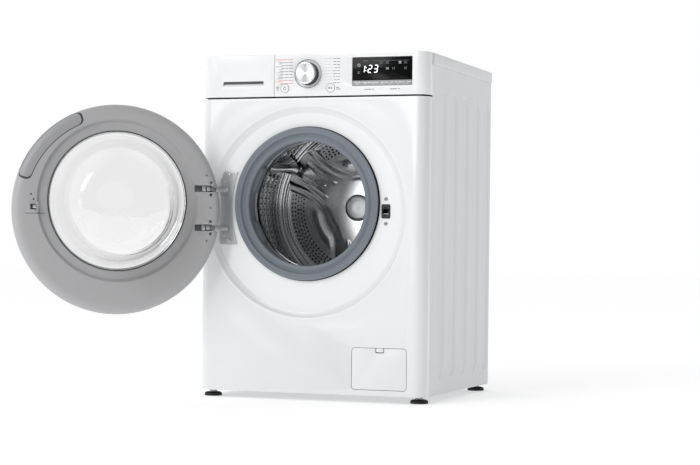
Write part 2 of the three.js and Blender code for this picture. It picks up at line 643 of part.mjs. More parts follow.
function lockNeck(margin) {
  const half = 9 + margin;
  const tall = 15 + margin;
  return block(HOOK_X - half, HOOK_X + half, 8, 20, HOOK_Z - tall, HOOK_Z + tall);
}

function doorLock() {
  const y1 = RECESS_DEPTH - GAP;
  return block(HOOK_X - 11, HOOK_X + 11, y1 - 3, y1, HOOK_Z - 17, HOOK_Z + 17)
    .add(lockNeck(0).intersect(block(0, WIDTH, y1 - 1, 20, 0, HEIGHT)))
    .add(block(HOOK_X - 14, HOOK_X + 14, FLOOR_Y + GAP, 45, HOOK_Z - 26, HOOK_Z + 26))
    .subtract(block(HOOK_X - 8, HOOK_X + 8, 0, 38, HOOK_Z - 7, HOOK_Z + 7));
}

function filterFlap() {
  const sides = [FLAP_X0 + FLAP_GAP, FLAP_X1 - FLAP_GAP, FLAP_Z0 + FLAP_GAP, FLAP_Z1 - FLAP_GAP];
  const outline = roundedBox(...sides, FLAP_CORNER - FLAP_GAP);
  return extruded(outline, 'y', 0, FLAP_THICK);
}

function pumpFilter() {
  const r = FILTER_RADIUS;
  return turned([[0, 13], [r, 13], [r, 22], [r - 7, 22], [r - 7, 70], [0, 70]], FILTER_X, FILTER_Z)
    .add(block(FILTER_X - r + 5, FILTER_X + r - 5, 6, 14, FILTER_Z - 4, FILTER_Z + 4));
}

// ---- gasket, tub and drum ------------------------------------------------------------------------

function doorGasket() {
  const p = PORTHOLE;
  const front = RECESS_DEPTH - GAP;
  const behind = TUB_FRONT - 1;
  return turned(closed([
    [p + 11, front], [p + 11, 2], [p + 8, 0], [p - 5, 0], [p - 8, 3], [p - 9, 9],
    [p - 20, 6], [p - 28, 30], [p - 28, behind - 9], [TUB_COLLAR + GAP, behind - 9],
    [TUB_COLLAR + GAP, behind], [TUB_COLLAR + 4, behind], [TUB_COLLAR + 4, behind - 12],
    [p - 24, behind - 12], [p - 24, 32], [p - GAP, 20], [p - GAP, front],
  ]), CENTRE_X, DRUM_Z);
}

function gasketClamp() {
  const inner = TUB_COLLAR + 4 + GAP;
  return annulus(inner, inner + 3, TUB_FRONT - 8, TUB_FRONT - 3, CENTRE_X, DRUM_Z);
}

function tubFront() {
  const r = TUB_RADIUS;
  const f = TUB_FRONT;
  const end = TUB_SPLIT - GAP / 2;
  const neck = TUB_COLLAR - 3;
  return turned(closed([
    [neck, f - 9], [TUB_COLLAR, f - 9], [TUB_COLLAR, f], [r - 10, f], [r, f + 10], [r, end - 8],
    [r + 6, end - 8], [r + 6, end], [r - TUB_WALL, end], [r - TUB_WALL, f + 12], [r - 12, f + 4],
    [neck, f + 4],
  ]), CENTRE_X, DRUM_Z);
}

function tubRear() {
  const r = TUB_RADIUS;
  const start = TUB_SPLIT + GAP / 2;
  const hubEnd = MOTOR_FRONT + 10;
  const seat = bearingOuter() + GAP;
  let tub = turned(closed([
    [r - TUB_WALL, start], [r + 6, start], [r + 6, start + 8], [r, start + 8], [r, TUB_BACK - 8],
    [r - 8, TUB_BACK], [HUB_RADIUS, TUB_BACK], [HUB_RADIUS, hubEnd], [seat, hubEnd], [seat, TUB_BACK - 6],
    [r - 12, TUB_BACK - 6], [r - TUB_WALL, TUB_BACK - 14],
  ]), CENTRE_X, DRUM_Z);
  const inside = cylinder('y', CENTRE_X, DRUM_Z, r - 2, 0, DEPTH, RING_STEPS);
  for (const side of [-1, 1]) {
    const spring = CENTRE_X + side * SPRING_REACH;
    const damper = CENTRE_X + side * DAMPER_REACH;
    const y = [SUSPENSION_Y - 10, SUSPENSION_Y + 10];
    tub = tub
      .add(block(spring - 9, spring + 9, ...y, DRUM_Z, LUG_TOP).subtract(inside))
      .add(block(damper - 9, damper + 9, ...y, DAMPER_TOP, DRUM_Z).subtract(inside));
  }
  return tub;
}

function bearingOuter() {
  return SHAFT_RADIUS * 2;
}

function bearing(y0) {
  return annulus(SHAFT_RADIUS + GAP, bearingOuter(), y0, y0 + BEARING_WIDTH, CENTRE_X, DRUM_Z, SHAFT_STEPS);
}

function counterweight(middle) {
  const wedge = [[CENTRE_X, DRUM_Z], ...arc(CENTRE_X, DRUM_Z, 2 * TUB_RADIUS, middle - 60, middle + 60, 4)];
  return annulus(PORTHOLE + 6, TUB_RADIUS - 6, RECESS_DEPTH + 14, TUB_FRONT - GAP, CENTRE_X, DRUM_Z)
    .intersect(extruded(wedge, 'y', 0, TUB_FRONT));
}

// A U-shaped rod lying between the bottom of the drum and the tub.
class HeaterLoop extends THREE.Curve {
  getPoint(t) {
    const half = 25;
    const start = TUB_FRONT + 14;
    const leg = TUB_BACK - TUB_FRONT - 120;
    const along = t * (2 * leg + Math.PI * half);
    const z = DRUM_Z - DRUM_RADIUS - 6;
    if (along < leg) {
      return new THREE.Vector3(CENTRE_X - half, start + along, z);
    }
    const turn = (along - leg) / half;
    if (turn < Math.PI) {
      return new THREE.Vector3(CENTRE_X - half * Math.cos(turn), start + leg + half * Math.sin(turn), z);
    }
    return new THREE.Vector3(CENTRE_X + half, start + leg - (along - leg - Math.PI * half), z);
  }
}

function heater() {
  const z = DRUM_Z - DRUM_RADIUS - 6;
  const flange = block(CENTRE_X - 38, CENTRE_X + 38, TUB_FRONT + 4 + GAP, TUB_FRONT + 17, z - 6, z + 20);
  const wall = cylinder('y', CENTRE_X, DRUM_Z, TUB_RADIUS - 14, TUB_FRONT, TUB_FRONT + 20, RING_STEPS);
  return tube(new HeaterLoop(), 3.5, 26, 6).add(flange.intersect(wall));
}

function drumShell() {
  const r = DRUM_RADIUS;
  const m = DRUM_MOUTH;
  const s = DRUM_SHEET;
  const f = DRUM_FRONT;
  const end = DRUM_BACK - GAP;
  return turned(closed([
    [m, f + 6], [m, f], [m + 4, f], [r - 22, f + 6], [r - 6, f + 14], [r, f + 30], [r, end], [r - s, end],
    [r - s, f + 31], [r - 7, f + 15.5], [r - 23, f + 7.4], [m + 4.5, f + 1.4], [m + 1.4, f + 1.4],
    [m + 1.4, f + 6],
  ]), CENTRE_X, DRUM_Z);
}

function drumBackPlate() {
  const r = DRUM_RADIUS - DRUM_SHEET - GAP;
  const b = DRUM_BACK - GAP;
  return turned([
    [0, b - 18], [30, b - 18], [36, b - 8], [r - 32, b - 4], [r - 20, b - 14], [r - 4, b - 14], [r, b],
    [r - 2, b], [r - 6, b - 12], [r - 19, b - 12], [r - 31, b - 2], [35, b - 6], [29, b - 16], [0, b - 16],
  ], CENTRE_X, DRUM_Z);
}

function lifter(degrees) {
  const turn = THREE.MathUtils.degToRad(degrees);
  const base = DRUM_RADIUS - DRUM_SHEET - 6;
  const top = DRUM_RADIUS - LIFTER_TALL;
  const outline = [
    [base, -30], [base, 30], [base - 12, 22], [top + 5, 13], [top, 6],
    [top, -6], [top + 5, -13], [base - 12, -22],
  ];
  const placed = outline.map(([out, across]) => [
    CENTRE_X + out * Math.cos(turn) - across * Math.sin(turn),
    DRUM_Z + out * Math.sin(turn) + across * Math.cos(turn),
  ]);
  return extruded(placed, 'y', DRUM_FRONT + 36, DRUM_BACK - 24);
}

function drumSpider() {
  let spider = cylinder('y', CENTRE_X, DRUM_Z, 40, DRUM_BACK, SPIDER_BACK, SHAFT_STEPS);
  for (const degrees of [90, 210, 330]) {
    const turn = THREE.MathUtils.degToRad(degrees);
    const arm = [[0, -17], [DRUM_RADIUS - 12, -12], [DRUM_RADIUS - 12, 12], [0, 17]].map(([out, across]) => [
      CENTRE_X + out * Math.cos(turn) - across * Math.sin(turn),
      DRUM_Z + out * Math.sin(turn) + across * Math.cos(turn),
    ]);
    spider = spider.add(extruded(arm, 'y', DRUM_BACK, SPIDER_BACK - 3));
  }
  return spider.subtract(cylinder('y', CENTRE_X, DRUM_Z, SHAFT_RADIUS + GAP, 0, DEPTH, SHAFT_STEPS));
}

function drumShaft() {
  return cylinder('y', CENTRE_X, DRUM_Z, SHAFT_RADIUS, DRUM_BACK, MOTOR_BACK + 3, SHAFT_STEPS);
}

function rotor() {
  const inner = STATOR_RADIUS + 2;
  const bore = SHAFT_RADIUS + GAP;
  return turned(closed([
    [bore, MOTOR_BACK - 12], [26, MOTOR_BACK - 12], [26, MOTOR_BACK - 4], [inner, MOTOR_BACK - 4],
    [inner, MOTOR_FRONT], [inner + 6, MOTOR_FRONT], [inner + 6, MOTOR_BACK], [bore, MOTOR_BACK],
  ]), CENTRE_X, DRUM_Z);
}

function stator() {
  return annulus(HUB_RADIUS + GAP, STATOR_RADIUS, MOTOR_FRONT + 1, MOTOR_BACK - 14, CENTRE_X, DRUM_Z);
}

// ---- suspension and water system -----------------------------------------------------------------

class Coil extends THREE.Curve {
  constructor(x, y, z0, z1, radius, turns) {
    super();
    Object.assign(this, { x, y, z0, z1, radius, turns });
  }

  getPoint(t) {
    const turn = 2 * Math.PI * this.turns * t;
    const out = this.radius;
    return new THREE.Vector3(
      this.x + out * Math.cos(turn), this.y + out * Math.sin(turn), this.z0 + (this.z1 - this.z0) * t);
  }
}

function spring(side) {
  const wire = 2;
  const turns = 6;
  const low = LUG_TOP + GAP + wire + 1;
  const high = SIDE_TOP - 26 - GAP - wire - 1;
  const path = new Coil(CENTRE_X + side * SPRING_REACH, SUSPENSION_Y, low, high, 9, turns);
  return tube(path, wire, turns * 7, 4);
}

function damper(side) {
  const z0 = PAN_FLOOR + GAP;
  const top = DAMPER_TOP - GAP;
  return turnedUpright([[0, z0], [14, z0], [14, z0 + 115], [6, z0 + 118], [6, top], [0, top]],
    CENTRE_X + side * DAMPER_REACH, SUSPENSION_Y, 16);
}

function inletValve() {
  const { x, z, radius } = FITTINGS.water_inlet;
  const end = DEPTH + FITTING_PROUD;
  return block(x - 22, x + 22, DEPTH - 50, DEPTH - SHEET - 2, z - 20, z + 20)
    .add(cylinder('y', x, z, radius, DEPTH - 10, end))
    .subtract(cylinder('y', x, z, radius - 5, end - 22, end + 1));
}

function drainOutlet() {
  const { x, z, radius } = FITTINGS.drain_outlet;
  const end = DEPTH + FITTING_PROUD;
  const stop = DEPTH - SHEET - GAP;
  return turned(closed([
    [radius - 3, stop - 30], [radius, stop - 30], [radius, stop - 3], [radius + 6, stop - 3],
    [radius + 6, stop], [radius, stop], [radius, end], [radius - 3, end],
  ]), x, z, SMALL_STEPS);
}

function cordGland() {
  const { x, z, radius } = FITTINGS.cord_gland;
  const face = DEPTH + GAP;
  return turned(closed([
    [4, DEPTH - 12], [radius, DEPTH - 12], [radius, face], [radius + 5, face], [radius + 4, face + 5],
    [4, face + 8],
  ]), x, z, 12);
}

function drainPump() {
  const bore = FILTER_RADIUS - 5;
  return cylinder('y', FILTER_X, FILTER_Z, FILTER_RADIUS + 5, 24, 110)
    .subtract(cylinder('y', FILTER_X, FILTER_Z, bore, 20, 80))
    .add(cylinder('y', FILTER_X, FILTER_Z, 26, 109, 160))
    .add(block(FILTER_X - 25, FILTER_X + 25, 40, 104, PAN_FLOOR + GAP, FILTER_Z - FILTER_RADIUS));
}

// ---- assembly ------------------------------------------------------------------------------------
const cabinet = new THREE.Group();
cabinet.position.set(FOOT_X, -FOOT_FRONT, 0);

add(cabinet, 'side_panel_left', sidePanel(-1), ENAMEL_SIDE);
add(cabinet, 'side_panel_right', sidePanel(1), ENAMEL_SIDE);
add(cabinet, 'front_panel', frontPanel(), ENAMEL);
add(cabinet, 'worktop', worktop(), ENAMEL_SIDE);
add(cabinet, 'rear_panel', rearPanel(), ZINC);
add(cabinet, 'rear_cover', rearCover(), ZINC);
add(cabinet, 'base_pan', basePan(), GREY_PLASTIC);
add(cabinet, 'top_crossbar', topCrossbar(), ZINC);
for (const [name, x, y] of footCentres()) {
  add(cabinet, name, foot(x, y), DARK_PLASTIC);
}

add(cabinet, 'control_panel', controlPanel(), WHITE_PLASTIC);
add(cabinet, 'control_board', controlBoard(), BOARD_GREEN);
const screen = [DISPLAY_X0, DISPLAY_X1, -0.4, 2];
add(cabinet, 'display_window', block(...screen, DISPLAY_SPLIT + GAP, DISPLAY_TOP), BLACK_GLASS);
add(cabinet, 'display_strip', block(...screen, DISPLAY_LOW, DISPLAY_SPLIT), GREY_PLASTIC);
add(cabinet, 'knob_ring', knobRing(), DARK_PLASTIC);
add(cabinet, 'program_knob', knob(), SILVER_PLASTIC);
add(cabinet, 'power_button', pressButton(POWER), SILVER_PLASTIC);
add(cabinet, 'start_button', pressButton(START), SILVER_PLASTIC);

add(cabinet, 'drawer_front', drawerFront(), WHITE_PLASTIC);
add(cabinet, 'drawer_tray', drawerTray(), WHITE_PLASTIC);
add(cabinet, 'softener_cover', softenerCover(), GREY_PLASTIC);
add(cabinet, 'dispenser_housing', dispenserHousing(), GREY_PLASTIC);

add(cabinet, 'hinge_bracket', hingeBracket(), ZINC);
add(cabinet, 'door_lock', doorLock(), DARK_PLASTIC);
add(cabinet, 'filter_flap', filterFlap(), ENAMEL);
add(cabinet, 'pump_filter', pumpFilter(), GREY_PLASTIC);
add(cabinet, 'drain_pump', drainPump(), DARK_PLASTIC);
add(cabinet, 'inlet_valve', inletValve(), WHITE_PLASTIC);
add(cabinet, 'drain_outlet', drainOutlet(), GREY_PLASTIC);
add(cabinet, 'cord_gland', cordGland(), DARK_PLASTIC);

add(cabinet, 'door_gasket', doorGasket(), RUBBER);
add(cabinet, 'gasket_clamp', gasketClamp(), STEEL);
add(cabinet, 'tub_front', tubFront(), TUB_PLASTIC);
add(cabinet, 'tub_rear', tubRear(), TUB_PLASTIC);
add(cabinet, 'counterweight_upper', counterweight(90), CONCRETE);
add(cabinet, 'counterweight_lower', counterweight(270), CONCRETE);
add(cabinet, 'heater', heater(), STEEL);
add(cabinet, 'bearing_front', bearing(TUB_BACK - 5), STEEL);
add(cabinet, 'bearing_rear', bearing(MOTOR_FRONT - 6), STEEL);
add(cabinet, 'stator', stator(), COPPER);
for (const [name, side] of [['left', -1], ['right', 1]]) {
  add(cabinet, `spring_${name}`, spring(side), STEEL);
  add(cabinet, `damper_${name}`, damper(side), DARK_PLASTIC);
}

add(cabinet, 'drum_shell', drumShell(), STEEL);
add(cabinet, 'drum_back_plate', drumBackPlate(), STEEL);
add(cabinet, 'lifter_left', lifter(150), GREY_PLASTIC);
add(cabinet, 'lifter_right', lifter(30), GREY_PLASTIC);
add(cabinet, 'lifter_bottom', lifter(270), GREY_PLASTIC);
add(cabinet, 'drum_spider', drumSpider(), ZINC);
add(cabinet, 'drum_shaft', drumShaft(), STEEL);
add(cabinet, 'rotor', rotor(), ZINC);

// The door's pieces keep their shut places inside a group that is swung open about the hinge pin.
const doorSwing = new THREE.Group();
doorSwing.position.set(PIVOT_X, PIVOT_Y, 0);
doorSwing.rotation.z = -THREE.MathUtils.degToRad(DOOR_OPEN);
const door = new THREE.Group();
door.position.set(-PIVOT_X, -PIVOT_Y, 0);
doorSwing.add(door);
cabinet.add(doorSwing);
add(door, 'door_outer_ring', doorOuterRing(), SILVER_PLASTIC);
add(door, 'door_window_cover', doorWindowCover(), BLACK_GLASS);
add(door, 'door_inner_frame', doorInnerFrame(), GREY_PLASTIC);
add(door, 'door_glass', doorGlass(), CLEAR_GLASS);
add(door, 'hinge_pin', hingePin(), STEEL);
add(door, 'door_hook', doorHook(), ZINC);

const machine = new THREE.Group();
machine.add(cabinet);

export default machine;
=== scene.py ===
from math import cos, exp, hypot, pi, radians, sin, sqrt
import random

import bmesh
import bpy
from mathutils import Matrix, Vector


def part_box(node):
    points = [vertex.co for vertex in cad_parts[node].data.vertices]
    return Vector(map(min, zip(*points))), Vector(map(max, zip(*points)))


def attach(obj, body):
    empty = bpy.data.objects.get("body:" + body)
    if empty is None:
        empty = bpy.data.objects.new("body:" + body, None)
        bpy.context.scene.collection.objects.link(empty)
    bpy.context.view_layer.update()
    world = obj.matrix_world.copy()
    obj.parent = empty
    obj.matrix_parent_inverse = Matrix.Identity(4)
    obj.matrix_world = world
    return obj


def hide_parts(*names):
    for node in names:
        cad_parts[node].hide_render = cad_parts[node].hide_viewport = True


# Front load washing machine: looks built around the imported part.

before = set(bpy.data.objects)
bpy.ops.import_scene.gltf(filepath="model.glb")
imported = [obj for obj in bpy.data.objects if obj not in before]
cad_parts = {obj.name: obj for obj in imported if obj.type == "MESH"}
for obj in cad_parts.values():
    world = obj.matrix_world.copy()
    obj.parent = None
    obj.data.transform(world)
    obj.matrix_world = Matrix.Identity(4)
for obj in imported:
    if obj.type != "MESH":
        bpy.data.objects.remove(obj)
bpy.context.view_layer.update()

MM = 0.001
TAU = 2 * pi

# The cabinet's own frame, in millimetres: x from its middle, y back from its front, z up from the floor.
_low, _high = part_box("worktop")
CABINET = Vector(((_low.x + _high.x) / 2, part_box("front_panel")[0].y, 0))


def span(cad_node):
    """Lowest and highest corner of a CAD node, in cabinet millimetres."""
    low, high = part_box(cad_node)
    return (low - CABINET) / MM, (high - CABINET) / MM


def middle(cad_node):
    low, high = span(cad_node)
    return (low + high) / 2


def half_width(cad_node):
    low, high = span(cad_node)
    return (high.x - low.x) / 2


HALF = half_width("front_panel")
WRAP = span("front_panel")[1].y
PANEL_LOW = span("front_panel")[0].z
PANEL_TOP = span("front_panel")[1].z
CONSOLE_LOW, CONSOLE_TOP = span("control_panel")[0].z, span("control_panel")[1].z
SEAM = span("control_panel")[0].x
DEPTH = span("side_panel_right")[1].y
CORNER = 28
GASKET = middle("door_gasket")
PORTHOLE = half_width("door_gasket") - 11
PIVOT = middle("hinge_pin")
DOOR_RADIUS = (span("door_outer_ring")[1].z - span("door_outer_ring")[0].z) / 2
DOOR_OPEN = radians(143)
RECESS = Vector((GASKET.x, 0, middle("door_outer_ring").z))
RECESS_RADIUS = DOOR_RADIUS - 8
LOCK = Vector((190.5, 0, 464))      # the latch hole
HOOK = Vector((190, 0, 464))        # the hook, door shut
FLAP_TAB = 183                      # x of the flap's finger notch
FITTINGS = {"inlet_valve": (230, 770), "drain_outlet": (240, 100), "cord_gland": (-240, 760)}
KNOB = middle("program_knob")
POWER_KEY = (middle("power_button").x, middle("power_button").z)
START_KEY = (middle("start_button").x, middle("start_button").z)
GRIP = (-238, -130)                 # the drawer handle's ends
ARM_LEVELS = (420, 516)             # heights of the hinge arms
LIFTERS = (150, 30, 270)            # degrees round the drum
ARMS = (147.5, 27.5, 267.5)         # degrees of the back plate's arms
BACK_FACE = 386.0                   # y of the arms' faces
DRUM_AXIS = (GASKET.x, GASKET.z)
DOOR_AXIS = (RECESS.x, RECESS.z)
DISH_EDGE = RECESS_RADIUS + 18       # outer rim of the pressed dish round the porthole
STEEL = 1.2                          # front sheet
WALL = 2.5                           # console and drawer mouldings
PRINT_Y = -0.36                      # print lies this far in front of the surface
PRINT_THICK = 0.12


# ---- mesh making ---------------------------------------------------------------------------------

def piece(name, points, faces, material, body, stands_for=(), smooth=35):
    """A mesh from cabinet-millimetre points, riding on a body and standing for some CAD nodes."""
    mesh = bpy.data.meshes.new(name)
    mesh.from_pydata([CABINET + Vector(p) * MM for p in points], [], faces)
    obj = bpy.data.objects.new(name, mesh)
    bpy.context.scene.collection.objects.link(obj)
    tidy(obj, smooth)
    return dress(obj, material, body, stands_for)


def tidy(obj, smooth=35):
    """Merges doubled points, turns the faces outwards and marks which edges stay crisp."""
    work = bmesh.new()
    work.from_mesh(obj.data)
    bmesh.ops.remove_doubles(work, verts=work.verts, dist=1e-7)
    bmesh.ops.recalc_face_normals(work, faces=work.faces)
    work.to_mesh(obj.data)
    work.free()
    obj.data.shade_smooth()
    obj.data.set_sharp_from_angle(angle=radians(smooth))


def dress(obj, material, body, stands_for=()):
    """Gives a piece its finish, its body and the CAD nodes that it replaces, which take the finish too."""
    obj.data.materials.clear()
    obj.data.materials.append(material)
    if body:
        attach(obj, body)
    if stands_for:
        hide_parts(*stands_for)
    for cad in stands_for:
        coat(bpy.data.objects[cad], material)
    return obj


def coat(obj, material):
    obj.data.materials.clear()
    obj.data.materials.append(material)


def settle(obj, smooth=35):
    """Bakes the modifiers into the mesh."""
    bpy.context.view_layer.update()
    shaped = bpy.data.meshes.new_from_object(obj.evaluated_get(bpy.context.evaluated_depsgraph_get()))
    obj.modifiers.clear()
    obj.data = shaped
    shaped.shade_smooth()
    shaped.set_sharp_from_angle(angle=radians(smooth))
    return obj


def modifier(obj, kind, **settings):
    """Adds a modifier with its settings."""
    made = obj.modifiers.new(kind.lower(), kind)
    for key, value in settings.items():
        setattr(made, key, value)
    return made


def bevel(obj, width, segments=3, angle=35):
    """Rounds the sharp edges and keeps the flats reading flat."""
    modifier(obj, "BEVEL", width=width * MM, segments=segments, limit_method="ANGLE",
             angle_limit=radians(angle), miter_outer="MITER_ARC")
    modifier(obj, "WEIGHTED_NORMAL", keep_sharp=True)
    return settle(obj, 60)


def carve(obj, *cutters):
    """Takes each cutter out of the piece, then removes the cutter."""
    for cutter in cutters:
        modifier(obj, "BOOLEAN", object=cutter, operation="DIFFERENCE", solver="EXACT")
        settle(obj)
        bpy.data.objects.remove(cutter)
    return obj


def merge(name, pieces):
    """Joins loose pieces that share a material and a body into one object."""
    with bpy.context.temp_override(active_object=pieces[0], selected_editable_objects=pieces):
        bpy.ops.object.join()
    pieces[0].name = name
    return pieces[0]


def arc(a, b, radius, start, end, steps):
    """Points on an arc round (a, b), angles in degrees."""
    turns = [radians(start + (end - start) * i / steps) for i in range(steps + 1)]
    return [(a + radius * cos(t), b + radius * sin(t)) for t in turns]


def rounded(a0, a1, b0, b1, radius, steps=6):
    """A rectangle with round corners, from its limits."""
    return (arc(a1 - radius, b1 - radius, radius, 0, 90, steps)
            + arc(a0 + radius, b1 - radius, radius, 90, 180, steps)
            + arc(a0 + radius, b0 + radius, radius, 180, 270, steps)
            + arc(a1 - radius, b0 + radius, radius, 270, 360, steps))


LAY = {"x": lambda a, b, t: (t, a, b), "y": lambda a, b, t: (a, t, b), "z": lambda a, b, t: (a, b, t)}


def prism(name, outline, along, start, end, material=None, body=None, stands_for=(), smooth=35):
    """An outline of (a, b) points pushed along an axis."""
    n = len(outline)
    points = [LAY[along](a, b, t) for t in (start, end) for a, b in outline]
    faces = [list(range(n)), list(range(n, 2 * n))]
    faces += [[i, (i + 1) % n, n + (i + 1) % n, n + i] for i in range(n)]
    return piece(name, points, faces, material, body, stands_for, smooth)


def drill(a, b, radius, start, end, along="y", steps=64):
    return prism("drill", arc(a, b, radius, 0, 360, steps)[1:], along, start, end)


def moulded(name, outline, along, start, end, material, body=None, stands_for=(), edge=0.6, segments=2,
            cuts=()):
    """A prism, cut and then rounded along its edges. Without a body, the caller places it."""
    made = prism(name, outline, along, start, end, material)
    carve(made, *cuts)
    bevel(made, edge, segments)
    return dress(made, material, body, stands_for)


def box_outline(x, z, half_x, half_z, radius, steps=6):
    """A rectangle with round corners, from its centre and half sizes."""
    return rounded(x - half_x, x + half_x, z - half_z, z + half_z, radius, steps)


def on_circle(centre, r, turn, y):
    """A point at depth y on an upright circle, at a turn in radians."""
    return centre.x + r * cos(turn), y, centre.z + r * sin(turn)


def quads(rows, columns):
    """Faces of a grid of points that was filled row by row."""
    return [[j * columns + i, j * columns + i + 1, (j + 1) * columns + i + 1, (j + 1) * columns + i]
            for j in range(rows - 1) for i in range(columns - 1)]


def soften(profile, size, steps=3):
    """Rounds the corners of a closed loop of points, each by as much as its sides allow."""
    loop = [Vector(p) for p in profile]
    result = []
    for before, here, after in zip(loop[-1:] + loop[:-1], loop, loop[1:] + loop[:1]):
        back, on = before - here, after - here
        a = here + back * min(0.45, size / max(back.length, 1e-6))
        b = here + on * min(0.45, size / max(on.length, 1e-6))
        for i in range(steps + 1):
            t = i / steps
            result.append(tuple(a * (1 - t) ** 2 + here * 2 * t * (1 - t) + b * t * t))
    return result


def turned(name, profile, centre, material, body, stands_for=(), steps=128, warp=None, smooth=40):
    """A loop of (radius, y) or (radius, y, rise) points turned about the y axis through a centre.

    Rise lifts that circle, so neighbouring circles need not be concentric."""
    loops = [[] for _ in profile]
    points = []
    for k, (radius, y, *rise) in enumerate(profile):
        lift = rise[0] if rise else 0
        for i in range(1 if radius < 1e-6 else steps):
            turn = TAU * i / steps
            x, z = centre[0] + radius * cos(turn), centre[-1] + lift + radius * sin(turn)
            loops[k].append(len(points))
            points.append((x, warp(x, y, z) if warp else y, z))
    faces = []
    pairs = list(zip(loops, loops[1:] + loops[:1]))
    for one, two in pairs:
        if len(one) == len(two) == 1:
            continue
        for i in range(steps):
            j = (i + 1) % steps
            corners = [one[i % len(one)], one[j % len(one)], two[j % len(two)], two[i % len(two)]]
            faces.append(list(dict.fromkeys(corners)))
    return piece(name, points, faces, material, body, stands_for, smooth)


def upright(name, profile, x, y, material, body, stands_for=(), steps=48):
    """A loop of (radius, z) points turned about an upright line."""
    made = turned(name, profile, (0, 0), material, None, (), steps)
    made.data.transform(Matrix.Translation(-CABINET))
    made.data.transform(Matrix.Rotation(pi / 2, 4, "X"))
    made.data.transform(Matrix.Translation(CABINET + Vector((x, y, 0)) * MM))
    tidy(made, 40)
    return dress(made, material, body, stands_for)


# ---- materials -----------------------------------------------------------------------------------

def srgb(code):
    """An sRGB hex colour as linear red, green, blue and alpha."""
    parts = [int(code[i:i + 2], 16) / 255 for i in (0, 2, 4)]
    return tuple(c / 12.92 if c <= 0.04045 else ((c + 0.055) / 1.055) ** 2.4 for c in parts) + (1,)


def node(tree, kind, settings=None, links=None):
    """Adds a node, sets its properties or sockets, and links its inputs to other nodes' outputs."""
    made = tree.nodes.new(kind)
    for key, value in (settings or {}).items():
        if isinstance(key, str) and hasattr(made, key):
            setattr(made, key, value)
        else:
            made.inputs[key].default_value = value
    for key, (source, output) in (links or {}).items():
        tree.links.new(source.outputs[output], made.inputs[key])
    return made


def finish(name, colour, roughness, metallic=0.0, ior=1.5, **sockets):
    """A named material with one Principled shader, whose even values sit on its own sockets."""
    material = bpy.data.materials.new(name)
    material.use_nodes = True
    shader = material.node_tree.nodes["Principled BSDF"]
    values = {"Base Color": srgb(colour), "Roughness": roughness, "Metallic": metallic, "IOR": ior}
    for key, value in {**values, **sockets}.items():
        shader.inputs[key].default_value = value
    return material


def grain(material, size_mm, height_mm, stretch=(1, 1, 1), tint=None, rough=None, detail=2.0):
    """Surface relief of a real grain size, with an optional drift of tint and roughness."""
    tree = material.node_tree
    shader = tree.nodes["Principled BSDF"]
    place = node(tree, "ShaderNodeTexCoord")
    stretched = node(tree, "ShaderNodeMapping", {"Scale": stretch}, {"Vector": (place, "Object")})
    fine = node(tree, "ShaderNodeTexNoise", {"Scale": 1 / (size_mm * MM), "Detail": detail},
                {"Vector": (stretched, 0)})
    bump = node(tree, "ShaderNodeBump", {"Strength": 1.0, "Distance": height_mm * MM},
                {"Height": (fine, 0)})
    tree.links.new(bump.outputs[0], shader.inputs["Normal"])
    if tint:
        drift = node(tree, "ShaderNodeTexNoise", {"Scale": 6.0, "Detail": 3.0}, {"Vector": (stretched, 0)})
        base = tuple(shader.inputs["Base Color"].default_value)
        blend = node(tree, "ShaderNodeMix", {"data_type": "RGBA"}, {"Factor": (drift, 0)})
        blend.inputs["A"].default_value = base
        blend.inputs["B"].default_value = srgb(tint)
        tree.links.new(blend.outputs["Result"], shader.inputs["Base Color"])
    if rough:
        spread = node(tree, "ShaderNodeMapRange", {"To Min": rough[0], "To Max": rough[1]},
                      {"Value": (fine, 0)})
        tree.links.new(spread.outputs[0], shader.inputs["Roughness"])
    return material


def gloss_enamel():
    # baked enamel on pressed steel: a wet gloss over a faint orange peel
    material = finish("gloss_enamel", "ECEDEE", 0.28, **{"Coat Weight": 0.35, "Coat Roughness": 0.12})
    return grain(material, 3.0, 0.006, tint="EAEBEC", rough=(0.26, 0.32))


def shaded_satin_enamel():
    # the wrapped side sheets: the same enamel with a duller, finer peel, in a greyer white than the front:
    # painted shade for the sides that face away from the light
    return grain(finish("shaded_satin_enamel", "E2E4E5", 0.42), 1.6, 0.01, tint="DEE0E2", rough=(0.38, 0.48))


def melamine():
    # melamine faced board: a dry satin with a fine pearl grain
    return grain(finish("white_melamine", "E3E5E6", 0.45), 0.8, 0.012, tint="DFE1E2", rough=(0.4, 0.5))


def white_abs():
    # glossy injection moulded ABS: smooth, slightly warm, soft highlights
    material = finish("white_abs", "F0F1F2", 0.25, ior=1.53, **{"Subsurface Weight": 0.05})
    material.node_tree.nodes["Principled BSDF"].inputs["Subsurface Radius"].default_value = (.002, .002, .002)
    return grain(material, 1.2, 0.003, tint="EEEFF0", rough=(0.22, 0.28))


def grey_polypropylene():
    # satin moulded polypropylene: fine spark-eroded grain that breaks the highlight
    return grain(finish("grey_polypropylene", "B4B4B5", 0.34, ior=1.49), 0.5, 0.006, tint="AFAFB1",
                 rough=(0.32, 0.44))


def gasket_rubber():
    # moulded EPDM rubber: slate grey, waxy, with a dusty bloom
    material = finish("epdm_rubber", "7A818B", 0.5, ior=1.52,
                      **{"Sheen Weight": 0.15, "Sheen Roughness": 0.5})
    return grain(material, 1.0, 0.02, tint="6D747D", rough=(0.42, 0.6))


def polished_stainless():
    # bright annealed stainless sheet: long mirror-like streaks with a rolled grain along the turning
    material = finish("bright_stainless", "D0D1D3", 0.12, metallic=1)
    return grain(material, 9.0, 0.008, stretch=(1, .35, 1), tint="C4C5C8", rough=(0.1, 0.18))


def mirror_stainless():
    return grain(finish("dished_stainless", "D2D3D5", 0.16, metallic=1), 1.4, 0.003, rough=(0.14, 0.22))


def zinc_plate():
    # zinc plated steel: pale grey with soft crystal clouds
    return grain(finish("zinc_plate", "C0C0C1", 0.42, metallic=0.9), 2.5, 0.02, tint="B0B1B2",
                 rough=(0.32, 0.52))


